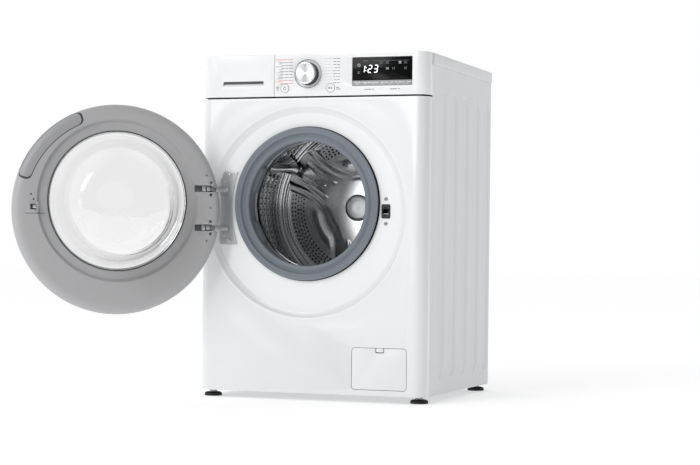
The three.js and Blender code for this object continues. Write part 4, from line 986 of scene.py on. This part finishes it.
def gasket():
    """Rubber bellows: a rolled outer bead, a folded throat and a thin inner lip against the drum."""
    r = PORTHOLE
    profile = [(r + 5.5, 11.6), (r + 5.5, 6), (r + 9, 4.6), (r + 8.6, 1.8), (r + 6, .2), (r + 2, .6),
               (r, 2), (r - 2.5, 1), (r - 6, 1.4),
               (r - 8, 4), (r - 8.6, 8.5), (r - 12, 9.5), (r - 16, 7.2), (r - 21, 6), (r - 25.5, 7.4),
               (r - 27.6, 10.5),
               (r - 26.8, 15), (r - 25, 19), (r - 25.8, 22), (r - 23.6, 27), (r - 24.2, 30), (r - 22, 36),
               (r - 22.4, 39),
               (r - 20.6, 46), (r - 20.4, 54), (r - 22, 60), (r - 17, 60), (r - 16.7, 69), (r - 13, 69),
               (r - 13, 57),
               (r - 17, 55), (r - 18, 36), (r - 14, 26), (r - .6, 20), (r - .6, 11.6)]
    turned("door_gasket", soften(profile, 1.6), DRUM_AXIS, RUBBER, "cabinet", ("door_gasket",), steps=160)
    # painted shadow: a near-black ring on the dish floor under the bead's undercut
    turned("gasket_shadow_gap", [(r + 4, 11.7), (r + 10.6, 11.7), (r + 10.6, 11.9), (r + 4, 11.9)],
           DRUM_AXIS, HOLE_SHADE,
           "cabinet", steps=128)
    for k, (turn, wide) in enumerate([(157, 27), (207, 25)]):
        pad = moulded_pad(f"gasket_pocket_{k}", turn, wide)
        dress(pad, RUBBER, "cabinet")
    # drain holes drawn as near-black discs: painted shade
    for k, turn in enumerate((252, 286)):
        t = radians(turn)
        turned(f"gasket_drain_{k}", [(0, 20.4), (2.4, 20.4), (2.4, 21), (0, 21)],
               (GASKET.x + (r - 27.7) * cos(t), GASKET.z + (r - 27.7) * sin(t)), HOLE_SHADE, "cabinet", steps=20)


def moulded_pad(name, turn, wide):
    """A rounded bulge on the gasket's throat, such as the one over the spray nozzle."""
    points, n = [], 17
    for j in range(n):
        v = j / (n - 1)
        for i in range(n):
            u = i / (n - 1)
            t = radians(turn + wide * (u - 0.5))
            height = (max(0, 1 - (2 * u - 1) ** 4) * max(0, 1 - (2 * v - 1) ** 4)) ** 0.5
            radius = PORTHOLE - 19.6 - 11 * height
            points.append(on_circle(GASKET, radius, t, 31 + 30 * v))
    pad = piece(name, points, quads(n, n), RUBBER, None, smooth=60)
    modifier(pad, "SOLIDIFY", thickness=1.5 * MM, offset=-1)
    return settle(pad, 60)


def lock():
    """The latch housing behind the recess, its slotted mouth and the two screws that hold it."""
    x, z = LOCK.x, LOCK.z
    slots = (prism("slot", rounded(x - 8, x + 7.5, z - 7, z + 6, 1.5), "y", 5, 27),
             prism("slot", rounded(x - 3, x + 7.5, z - 12, z + 11, 1.5), "y", 5, 13))
    moulded("door_lock", box_outline(x, z, 11, 17, 4), "y", 10.6, 24, BLACK, "cabinet", ("door_lock",),
            cuts=slots)
    latch = [(x - 7, z - 6.9), (x + 7, z - 6.9), (x + 7, z - 5), (x - 7, z - 5)]
    moulded("lock_latch", latch, "y", 12.5, 20, ZINC, "cabinet", edge=0.5)
    screw("lock_screw_upper", x, 12.2, z + 30, 5)
    screw("lock_screw_lower", x, 12.2, z - 30, 5)


def hinge_plate():
    """The steel hinge plate in the recess, with its arms, eyes, screws and locating holes."""
    low, high = span("hinge_bracket")
    z0, z1 = low.z, high.z

    def left_of(centre, radius, z):
        return centre.x - sqrt(radius * radius - (z - centre.z) ** 2)

    def right_edge(z):
        return -214 + 15 * ((z - (z0 + z1) / 2) / ((z1 - z0) / 2)) ** 2

    rows, columns = 33, 17
    points = []
    for j in range(rows):
        z = z0 + (z1 - z0) * j / (rows - 1)
        left, right = max(-247, left_of(RECESS, RECESS_RADIUS - 4, z)), right_edge(z)
        for i in range(columns):
            x = left + (right - left) * i / (columns - 1)
            points.append((x, 9.7, z))
    plate = piece("hinge_bracket", points, quads(rows, columns), ZINC, None, smooth=50)
    modifier(plate, "SOLIDIFY", thickness=1.6 * MM, offset=-1)
    settle(plate, 50)
    cutters = [prism("pin_hole", box_outline(-236, z, 3, 3, 1), "y", -2, 15)
               for z in (ARM_LEVELS[1] + 20, ARM_LEVELS[0] - 20)]
    carve(plate, *cutters)
    bevel(plate, 0.4, 2, 50)
    dress(plate, ZINC, "cabinet", ("hinge_bracket",))
    for k, z in enumerate((z0 + 10, z1 - 10)):
        screw(f"hinge_screw_{k}", -222, 8.7, z, 4.6, CHROME)
    for k, z in enumerate(ARM_LEVELS):
        root = left_of(RECESS, RECESS_RADIUS - 2.5, z) + 3
        bend = [(-222, 9.7), (-223, 5.7), (root + 10, 3.5), (root - 2, -5), (PIVOT.x + 7, PIVOT.y - 4),
                (PIVOT.x, PIVOT.y - 8),
                (PIVOT.x - 7, PIVOT.y - 4), (PIVOT.x - 8, PIVOT.y), (PIVOT.x - 6, PIVOT.y + 6),
                (PIVOT.x, PIVOT.y + 8),
                (root - 11, -2), (root - 4, 9.7)]
        moulded(f"hinge_arm_{k}", bend, "z", z - 6, z + 6, ZINC, "cabinet", edge=1.6, segments=4)


# ---- drum ----------------------------------------------------------------------------------------

def drum():
    """The drum's rolled shell: a curled mouth, a cone and shallow beads."""
    low, high = span("drum_shell")
    radius = (high.z - low.z) / 2
    front, back = low.y, high.y
    mouth = PORTHOLE - 21
    inside = [(mouth, front + 3), (mouth + 1.5, front + .6), (mouth + 4, front), (mouth + 8, front + 1.4),
              (mouth + 12, front + 5),
              (radius - 12, front + 14), (radius - 3, front + 22), (radius, front + 34)]
    bands = []
    y = front + 34
    while y < back - 12:
        bands += [(radius, y), (radius, y + 20), (radius - 1.2, y + 23), (radius, y + 26)]
        y += 26
    outline = inside + bands + [(radius, back - 8), (radius - 1.2, back - 2), (radius - 2.4, back - 8)]
    inner = [(r - 1.1, y) for r, y in reversed(bands)] + [(radius - 1.1, front + 35),
            (radius - 4, front + 24), (radius - 13, front + 15.6),
             (mouth + 11, front + 6.4), (mouth + 6, front + 3.4), (mouth + 3, front + 3),
                     (mouth + 1, front + 4)]
    turned("drum_shell", outline + inner, DRUM_AXIS, STAINLESS, "drum", ("drum_shell",), steps=180)
    perforations(radius, front, back)


def perforations(radius, front, back):
    """Small punched holes in staggered rows between the lifters, each a near-black disc, painted shade for
    the bore, laid on a flat steel ring.
    """
    holes, rims = [], []
    rows = 20
    for k in range(rows):
        y = front + 42 + (back - front - 66) * k / (rows - 1)
        for i in range(96):
            turn = 360 * (i + 0.5 * (k % 2)) / 96
            if min(abs((turn - a + 180) % 360 - 180) for a in LIFTERS) < 9:
                continue
            holes.append(spot_on_shell(radius - 2.6, y, turn, 2.1))
            rims.append(spot_on_shell(radius - 2.3, y, turn, 2.9))
    discs("drum_holes", holes, HOLE_SHADE)
    discs("drum_hole_rims", rims, DISHED)


def spot_on_shell(radius, y, turn, size, sides=8):
    """An outline that lies on the shell's inside."""
    t = radians(turn)
    spots = []
    for k in range(sides):
        a = TAU * k / sides
        u = t + size * cos(a) / radius
        spots.append(on_circle(GASKET, radius, u, y + size * sin(a)))
    return spots


def discs(name, outlines, material):
    """One mesh of flat spots on the drum."""
    points = [p for outline in outlines for p in outline]
    n = len(outlines[0])
    faces = [list(range(k * n, k * n + n)) for k in range(len(outlines))]
    return piece(name, points, faces, material, "drum")


def near_arm(turn):
    """Signed angle from the nearest spider arm."""
    return min(((turn - a + 180) % 360 - 180 for a in ARMS), key=abs)


def step(value, start, end):
    """Smooth rise from 0 at start to 1 at end."""
    t = min(1, max(0, (value - start) / (end - start)))
    return t * t * (3 - 2 * t)


def plate_depth(r, turn):
    """Depth of the pressed back plate: three broad raised arms round a hub and three stepped pockets."""
    y = BACK_FACE
    off = near_arm(turn)
    across = abs(r * sin(radians(off))) if abs(off) < 90 else r
    arm_half = 34 + 26 * step(r, 120, 50) + 10 * step(r, 150, 215)
    arm = 1 - step(across, arm_half - 3, arm_half + 11)
    centre = 1 - step(r, 74, 80)
    edge = step(r, 206, 212)
    raised = max(arm, centre, edge)
    pocket = 1 - raised
    y += 4.0 * pocket
    within = step(across, arm_half + 19, arm_half + 25) * step(r, 88, 96) * (1 - step(r, 196, 202))
    y += 3.6 * within
    y -= 2.4 * step(across, arm_half + 30, arm_half + 44) * step(r, 104, 120) * (1 - step(r, 132, 148))
    for ring in (214, 222):
        y -= 1.4 * exp(-((r - ring) / 1.8) ** 2)
    rib = 1.8 * exp(-((across - arm_half * 0.55) / 4) ** 2) * arm * step(r, 88, 100) * (1 - step(r, 176, 190))
    y -= rib
    return y


def back_plate():
    """The drum's pressed back, as rings of points whose depth follows the pressing."""
    radii = [31, 34, 38, 42, 46, 50, 53, 56, 58, 60, 62, 64, 67, 70, 73, 74.5, 76, 77.5, 79, 80.5, 82.5,
             84.5, 86, 87.5, 89, 92,
             96, 100, 104, 108, 114, 120, 128, 136, 141, 146, 151, 156, 162, 168, 174, 180, 186, 191, 195,
             198, 199.5, 201,
             203, 206, 207.5, 209, 210.5, 212, 213, 214, 215, 216.5, 218, 220, 221, 222, 223, 224.5, 227,
             229.5]
    steps = 540
    points, faces = [], []
    for r in radii:
        for i in range(steps):
            turn = 360 * i / steps
            t = radians(turn)
            points.append(on_circle(GASKET, r, t, plate_depth(r, turn)))
    for k in range(len(radii) - 1):
        for i in range(steps):
            j = (i + 1) % steps
            faces.append([k * steps + i, k * steps + j, (k + 1) * steps + j, (k + 1) * steps + i])
    plate = piece("drum_back_plate", points, faces, DISHED, "drum", ("drum_back_plate",), 55)
    plate.data.materials.append(HUB)
    for face in plate.data.polygons:
        y = sum(plate.data.vertices[v].co.y for v in face.vertices) / len(face.vertices)
        face.material_index = int((y - CABINET.y) / MM > BACK_FACE + 6.4)
    modifier(plate, "SOLIDIFY", thickness=0.8 * MM, offset=-1)
    settle(plate, 55)


def back_plate_details():
    """Holes in the pockets, drawn as near-black discs of painted shade on chrome rings, the hub cap in its
    seat and two rivets on each arm.
    """
    holes, rims = [], []
    for row, r in enumerate((157, 165, 173, 181, 189)):
        count = round(TAU * r / 11)
        for i in range(count):
            turn = 360 * (i + 0.5 * (row % 2)) / count
            off = near_arm(turn)
            if abs(r * sin(radians(off))) > 62:
                holes.append(flat_spot(r, turn, 2.4))
                rims.append(flat_spot(r, turn, 3.3, 0.18))
    discs("back_plate_holes", holes, HOLE_SHADE)
    discs("back_plate_hole_rims", rims, CHROME)
    cap = [(0, 378.6), (16, 379), (28, 380.2), (32, 382), (33.4, 385), (33.4, 387), (0, 387)]
    turned("hub_cap", soften_open(cap, 1.5), DRUM_AXIS, HUB, "drum", steps=96)
    turned("hub_seat", [(33.4, 384.6), (35.4, 385.2), (35.4, 386.6), (33.4, 386.6)], DRUM_AXIS, BLACK,
           "drum", steps=96)
    for k, arm in enumerate(ARMS):
        for reach in (112, 196):
            x, y, z = on_circle(GASKET, reach, radians(arm), plate_depth(reach, arm) + 0.2)
            screw(f"plate_rivet_{k}_{reach}", x, y, z, 5, DISHED, "drum", cross=False)


def flat_spot(r, turn, size, behind=0.0, sides=10):
    """An outline just in front of the back plate."""
    t = radians(turn)
    x, y, z = on_circle(GASKET, r, t, plate_depth(r, turn) - 1.15 + behind)
    return [(x + size * cos(TAU * k / sides), y, z + size * sin(TAU * k / sides)) for k in range(sides)]


def lifter(name, turn):
    """A hollow moulded paddle with a rounded crest and a waisted plan."""
    start, end = 128, 374.7
    base, crest = 230.5, 186.5
    rows = []
    for i in range(33):
        t = i / 32
        y = start + (end - start) * t
        taper = min(1, sqrt(max(0, 1 - (1 - t / 0.14) ** 2))) if t < 0.14 else 1
        if t > 0.9:
            taper = sqrt(max(0, 1 - ((t - 0.9) / 0.1) ** 2)) * 0.45 + 0.55
        sway = 3.5 * sin(TAU * t)
        tall = (base - crest) * (0.35 + 0.65 * taper)
        half = 26 * (0.55 + 0.45 * taper) - 3 * sin(pi * t)
        row = []
        for k in range(17):
            u = -1 + 2 * k / 16
            across = half * u
            up = tall * (1 - abs(u) ** 2.6)
            r = base - up
            row.append((r, across + sway * (1 - abs(u))))
        rows.append((y, row))
    points, faces = [], []
    a = radians(turn)
    out, side = Vector((cos(a), 0, sin(a))), Vector((-sin(a), 0, cos(a)))
    centre = Vector((GASKET.x, 0, GASKET.z))
    for y, row in rows:
        for r, s in row:
            points.append(centre + out * r + side * s + Vector((0, y, 0)))
    n = 17
    for i in range(len(rows) - 1):
        faces += [[i * n + k, i * n + k + 1, (i + 1) * n + k + 1, (i + 1) * n + k] for k in range(n - 1)]
        faces.append([i * n, (i + 1) * n, (i + 1) * n + n - 1, i * n + n - 1])
    faces += [list(range(n)), [(len(rows) - 1) * n + k for k in range(n)]]
    return piece(name, points, faces, STAINLESS, "drum", (name,), 40)


gasket()
lock()
hinge_plate()
drum()
back_plate()
back_plate_details()
lifter("lifter_left", 150)
lifter("lifter_right", 30)
lifter("lifter_bottom", 270)


# ---- door, modelled shut and then swung open about its pin ---------------------------------------

def swing(obj):
    """Turns a piece modelled on the shut door into the open rest pose."""
    pin = CABINET + Vector((PIVOT.x, PIVOT.y, 0)) * MM
    obj.data.transform(Matrix.Translation(pin) @ Matrix.Rotation(-DOOR_OPEN, 4,
            "Z") @ Matrix.Translation(-pin))
    return obj


def on_door(obj, material, stands_for=()):
    return dress(swing(obj), material, "door", stands_for)


def door_turned(name, profile, centre, material, stands_for=(), steps=192, smooth=40):
    return on_door(turned(name, profile, centre, material, None, (), steps, None, smooth), material,
                   stands_for)


def arm_pockets(grow=0):
    """Cutters for the two slots that the hinge arms enter."""
    return [prism("pocket", rounded(-284, -204 + grow, -42, 9, 1), "z", z - 8 - grow,
                  z + 8 + grow) for z in ARM_LEVELS]


def door_ring():
    """The white outer ring of the door."""
    r = DOOR_RADIUS
    profile = [(190.5, -36.5), (200, -43), (215, -46), (238, -46), (248, -43), (r - 1.5, -37), (r, -30),
               (r, -14.3), (r - 3, -14.3),
               (r - 3, -29), (r - 5, -35), (r - 9, -40.5), (238, -43), (215, -43), (201.5, -40.5), (193, -35)]
    ring = turned("door_outer_ring", soften(profile, 3), DOOR_AXIS, ENAMEL, None, steps=192)
    carve(ring, *arm_pockets(1))
    on_door(ring, ABS, ("door_outer_ring",))


def door_window():
    """The clear cover over the door's outside."""
    profile = [(0, -41), (90, -40.6), (180, -39), (189.4, -36.2), (189, -33.4), (178, -35.7), (90, -37.8),
               (0, -38)]
    door_turned("door_window_cover", soften_open(profile, 1.2), DOOR_AXIS, WINDOW, ("door_window_cover",))


def door_frame():
    """The frame behind the glass: a rounded rim, a shallow step and a sloping collar round the bowl."""
    r = DOOR_RADIUS
    rise = GASKET.z - RECESS.z
    rim = [(r, -14), (r, -8), (r - 2, -4), (r - 6, 0), (r - 11, 3.5), (r - 19, 5), (r - 26, 5)]
    inner = [(199, 5, rise), (197, 4.6, rise), (195, 2.8, rise), (191.5, -1.2, rise), (189, -2.2, rise),
             (176, -3, rise),
             (171.5, -3, rise), (170.2, -4, rise), (170, -12, rise), (173, -12, rise), (173, -6, rise),
             (190, -6, rise),
             (198, 2, rise)]
    back = [(r - 22, 2), (r - 12, 0.5), (r - 8, -3), (r - 4, -8), (r - 3, -14)]
    frame_piece = turned("door_inner_frame", rim + inner + back, DOOR_AXIS, GREY, None, steps=192, smooth=50)
    x, z = HOOK.x, HOOK.z
    cutters = arm_pockets() + [prism("hook_hole", rounded(x - 6.5, x + 7.5, z - 6.5, z + 6.5, 2), "y", -9, 9)]
    for level in ARM_LEVELS:
        cutters += [prism("pin_hole", rounded(-247.5, -240.5, level + dz - 3.5, level + dz + 3.5, 0.8), "y",
                          -2, 9) for dz in (-15, 15)]
    carve(frame_piece, *cutters)
    bevel(frame_piece, 0.5, 2, 50)
    on_door(frame_piece, GREY, ("door_inner_frame",))
    for k, z in enumerate((ARM_LEVELS[0] - 34, (ARM_LEVELS[0] + ARM_LEVELS[1]) / 2, ARM_LEVELS[1] + 32)):
        for part in screw(f"door_screw_{k}", -243 + abs(z - RECESS.z) * 0.12, -5, z, 3.6, ZINC, None):
            face_back(part)
            on_door(part, part.data.materials[0])
    door_details()


def face_back(part):
    """Mirrors a front-facing screw in the front plane, so that it faces the cabinet."""
    mirror = Matrix.Scale(-1, 4, Vector((0, 1, 0)))
    front = Matrix.Translation((0, CABINET.y, 0))
    part.data.transform(front @ mirror @ front.inverted())
    tidy(part)
    return part


def door_details():
    """Finger grip on the rim, its let-in look given by a charcoal edge of painted shade; the hook's raised
    plate and its guide marks, a groove and two pits drawn dark as painted shade.
    """
    # painted shade: a charcoal crescent edge round the grip
    on_door(rim_patch("door_grip_shade_edge", 17, 68, 223.5, 254.6, 0.15, CHARCOAL), CHARCOAL)
    on_door(rim_patch("door_grip", 18.2, 66.8, 225.5, 253.6, 0.4, GREY_LIGHT), GREY_LIGHT)
    x, z = HOOK.x, HOOK.z
    hole = prism("hole", rounded(x - 7, x + 8, z - 7, z + 7, 2), "y", 0, 9)
    on_door(moulded("hook_plate", rounded(x - 12, x + 14, z - 14, z + 14, 2), "y", 4.5, 5.5, GREY, edge=0.4,
                    cuts=(hole,)),
            GREY)
    # the groove is a flat charcoal strip: painted shade
    groove = prism("hook_groove", rounded(x - 28, x + 20, z - 16.6, z - 15.4, 0.5), "y", 4.9, 5.15, CHARCOAL)
    on_door(groove, CHARCOAL)
    # pits drawn as near-black discs: painted shade
    for k, dz in enumerate((18, 30)):
        pit = turned(f"hook_pit_{k}", [(0, 4.9), (2.1, 4.9), (2.1, 5.2), (0, 5.2)],
                     (x + (0 if k == 0 else 6), z + dz), HOLE_SHADE, None, steps=20)
        on_door(pit, HOLE_SHADE)


RIM = ((200, 5), (236, 5), (240, 4.5), (244, 3.5), (247, 1.6), (249, 0), (251.4, -2.4), (253, -4),
       (254.2, -6), (255, -8), (256, -11))


def rim_patch(name, start, end, inner, outer, proud, material):
    """A thin crescent that lies on the frame's rounded rim, with round ends."""
    rows, columns = 15, 49
    points = []
    for j in range(rows):
        v = j / (rows - 1)
        for i in range(columns):
            u = 0.5 - 0.5 * cos(pi * i / (columns - 1))
            near = max(0, 1 - min(u, 1 - u) / 0.07)
            shrink = (outer - inner) * 0.42 * (1 - sqrt(1 - near * near))
            r = inner + shrink + (outer - inner - 1.6 * shrink) * v
            k = next(k for k in range(len(RIM) - 1) if r <= RIM[k + 1][0])
            (r0, y0), (r1, y1) = RIM[k], RIM[k + 1]
            t = radians(start + (end - start) * u)
            points.append(on_circle(RECESS, r, t, y0 + (y1 - y0) * (r - r0) / (r1 - r0) + proud))
    return piece(name, points, quads(rows, columns), material, None, smooth=60)


def door_glass():
    """The pressed bowl: a rim, a long cone flank and a nearly flat end, with a step near the lower lip."""
    outer = [(0, 98, -15), (60, 97.4, -15), (94, 95.4, -15), (107, 92, -14), (115, 86, -13), (123, 74, -11),
             (133, 54, -7),
             (142, 34, -4), (150, 14, -1), (156, 3, 0), (160, -2, 0), (167.5, -12.3, 0)]
    inner = [(182, -12.3, 0), (182, -16, 0), (163, -16, 0), (156, -6, 0), (150.6, 0, 0), (145, 11, -1),
             (137, 31, -4),
             (128, 51, -7), (118, 70.6, -11), (110.6, 81.6, -13), (104, 87.2, -14), (92, 90.5, -15),
             (60, 92.4, -15), (0, 93, -15)]
    door_turned("door_glass", outer + inner, DRUM_AXIS, GLASS, ("door_glass",), smooth=60)
    door_turned("glass_gasket",
                soften([(171.8, -3.4), (168.2, -3.9), (168, -5), (169.4, -11), (171.8, -11)], 0.6, 2),
                DRUM_AXIS, BLACK, steps=160)
    lip = [(167.6, -5.6), (165.6, -7), (163.8, -10), (164, -12), (167.6, -12)]
    door_turned("glass_seal", soften(lip, 1), DRUM_AXIS, CHROME, steps=160)


def door_hook():
    """The sprung hook that enters the lock."""
    x, z = HOOK.x, HOOK.z
    low, high = -6, 25
    outline = [(x - 3, low), (x + 3, low), (x + 3, high - 5), (x + 1, high), (x - 5, high - 4),
               (x - 5, high - 8), (x - 2, high - 9),
               (x - 2, 2), (x - 3, 0)]
    hook = moulded("door_hook", outline, "z", z - 4, z + 4, CHROME, edge=0.8, segments=3)
    dress(swing(hook), CHROME, "latch", ("door_hook",))


def door_hinge():
    """The hinge pin, and in each arm's slot a well, two links and two clips."""
    low, high = span("hinge_pin")
    moulded("hinge_pin", arc(PIVOT.x, PIVOT.y, 3, 0, 360, 32)[1:], "z", low.z, high.z, ZINC, "door",
            ("hinge_pin",),
            edge=0.5)
    for k, level in enumerate(ARM_LEVELS):
        on_door(moulded(f"hinge_well_{k}", rounded(-221, -204.4, -8, 3.2, 1), "z", level - 7.4, level + 7.4,
                        CHARCOAL),
                CHARCOAL)
        for j, (x0, x1, half) in enumerate(((-232, -222, 7), (-243.5, -234, 5.5))):
            outline = rounded(x0, x1, -12, 2.4 - 1.4 * j, 1.5)
            on_door(moulded(f"hinge_link_{k}_{j}", outline, "z", level - half, level + half, ZINC,
                            edge=0.8), ZINC)
        for end, dz in (("a", -10.5), ("b", 10.5)):
            outline = box_outline(PIVOT.x, PIVOT.y, 6, 5, 3)
            z = level + dz
            on_door(moulded(f"hinge_clip_{k}_{end}", outline, "z", z - 1.5, z + 1.5, ZINC, edge=0.5), ZINC)


door_ring()
door_window()
door_frame()
door_glass()
door_hook()
door_hinge()


# ---- everything that stays as its CAD solid ------------------------------------------------------

def paint_hidden():
    """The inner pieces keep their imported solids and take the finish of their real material."""
    finishes = {
        ZINC: ("top_crossbar", "rotor", "heater", "spring_left", "spring_right", "gasket_clamp", "drum_shaft",
               "bearing_front", "bearing_rear"),
        GALVANISED: ("base_pan",),
        PALE_PP: ("tub_front", "tub_rear", "drawer_tray", "dispenser_housing", "damper_left", "damper_right",
                  "inlet_valve", "drain_pump"),
        CONCRETE: ("counterweight_upper", "counterweight_lower"),
        COPPER: ("stator",),
        BOARD: ("control_board",),
        SPUN: ("drum_spider",),
        GREY: ("softener_cover", "drain_outlet"),
        BLACK: ("cord_gland",),
    }
    for material, nodes in finishes.items():
        for cad in nodes:
            coat(bpy.data.objects[cad], material)


# ---- light, floor and camera ---------------------------------------------------------------------

def area_light(name, place, target, size, power, colour="FFFFFF"):
    lamp = bpy.data.lights.new(name, "AREA")
    lamp.shape, lamp.size, lamp.size_y = "RECTANGLE", size[0], size[1]
    lamp.energy, lamp.color = power, srgb(colour)[:3]
    obj = bpy.data.objects.new(name, lamp)
    bpy.context.scene.collection.objects.link(obj)
    obj.location = place
    obj.rotation_euler = (Vector(target) - Vector(place)).to_track_quat("-Z", "Y").to_euler()
    return obj


def studio():
    """A pale floor, a paper cove as world light, a key light and a fill for the drum."""
    mesh = bpy.data.meshes.new("floor")
    mesh.from_pydata([(-30, -30, 0), (30, -30, 0), (30, 30, 0), (-30, 30, 0)], [], [(0, 1, 2, 3)])
    floor = bpy.data.objects.new("floor", mesh)
    mesh.materials.append(finish("studio_floor", "E6E6E6", 0.9,
            **{"Emission Color": (1, 1, 1, 1), "Emission Strength": 0.42}))
    bpy.context.scene.collection.objects.link(floor)
    world = bpy.data.worlds.new("studio")
    world.use_nodes = True
    tree = world.node_tree
    # a paper cove: white behind the machine, dimmer and darker towards the studio behind the camera
    place = node(tree, "ShaderNodeTexCoord")
    split = node(tree, "ShaderNodeSeparateXYZ", {}, {"Vector": (place, "Generated")})
    behind = node(tree, "ShaderNodeMapRange",
                  {"From Min": -0.35, "From Max": 0.75, "To Min": 0.1, "To Max": 1.0,
                                               "interpolation_type": "SMOOTHSTEP"}, {"Value": (split, "Y")})
    left = node(tree, "ShaderNodeMapRange",
                {"From Min": -0.55, "From Max": 0.25, "To Min": 0.95, "To Max": 0.25,
                                             "interpolation_type": "SMOOTHSTEP"}, {"Value": (split, "X")})
    both = node(tree, "ShaderNodeMath", {"operation": "MAXIMUM"}, {0: (behind, 0), 1: (left, 0)})
    tree.links.new(both.outputs[0], tree.nodes["Background"].inputs["Strength"])
    tree.nodes["Background"].inputs["Color"].default_value = (1, 1, 1, 1)
    bpy.context.scene.world = world
    area_light("key", (-1.2, -4.2, 3.0), (0.25, 0.1, 0.45), (2.2, 2.2), 66)
    area_light("drum_fill", (-0.75, -2.85, 0.6), (0.27, 0.2, 0.46), (0.55, 0.55), 2.6)


def camera():
    lens = bpy.data.cameras.new("camera")
    # a long lens about 4.6 m from the front, turned 19.9 degrees to the left
    lens.lens, lens.sensor_width, lens.clip_end = 95.98, 36, 100
    lens.shift_y = -0.002
    obj = bpy.data.objects.new("camera", lens)
    bpy.context.scene.collection.objects.link(obj)
    yaw, pitch, roll = radians(19.9), radians(0.662), radians(0.714)
    obj.matrix_world = (Matrix.Translation(CABINET + Vector((1648, -4268, 363)) * MM)
                        @ Matrix.Rotation(yaw, 4, "Z") @ Matrix.Rotation(pi / 2 + pitch, 4, "X")
                        @ Matrix.Rotation(roll, 4, "Z"))
    bpy.context.scene.camera = obj
    scene = bpy.context.scene
    scene.view_settings.view_transform = "Standard"


paint_hidden()
studio()
camera()
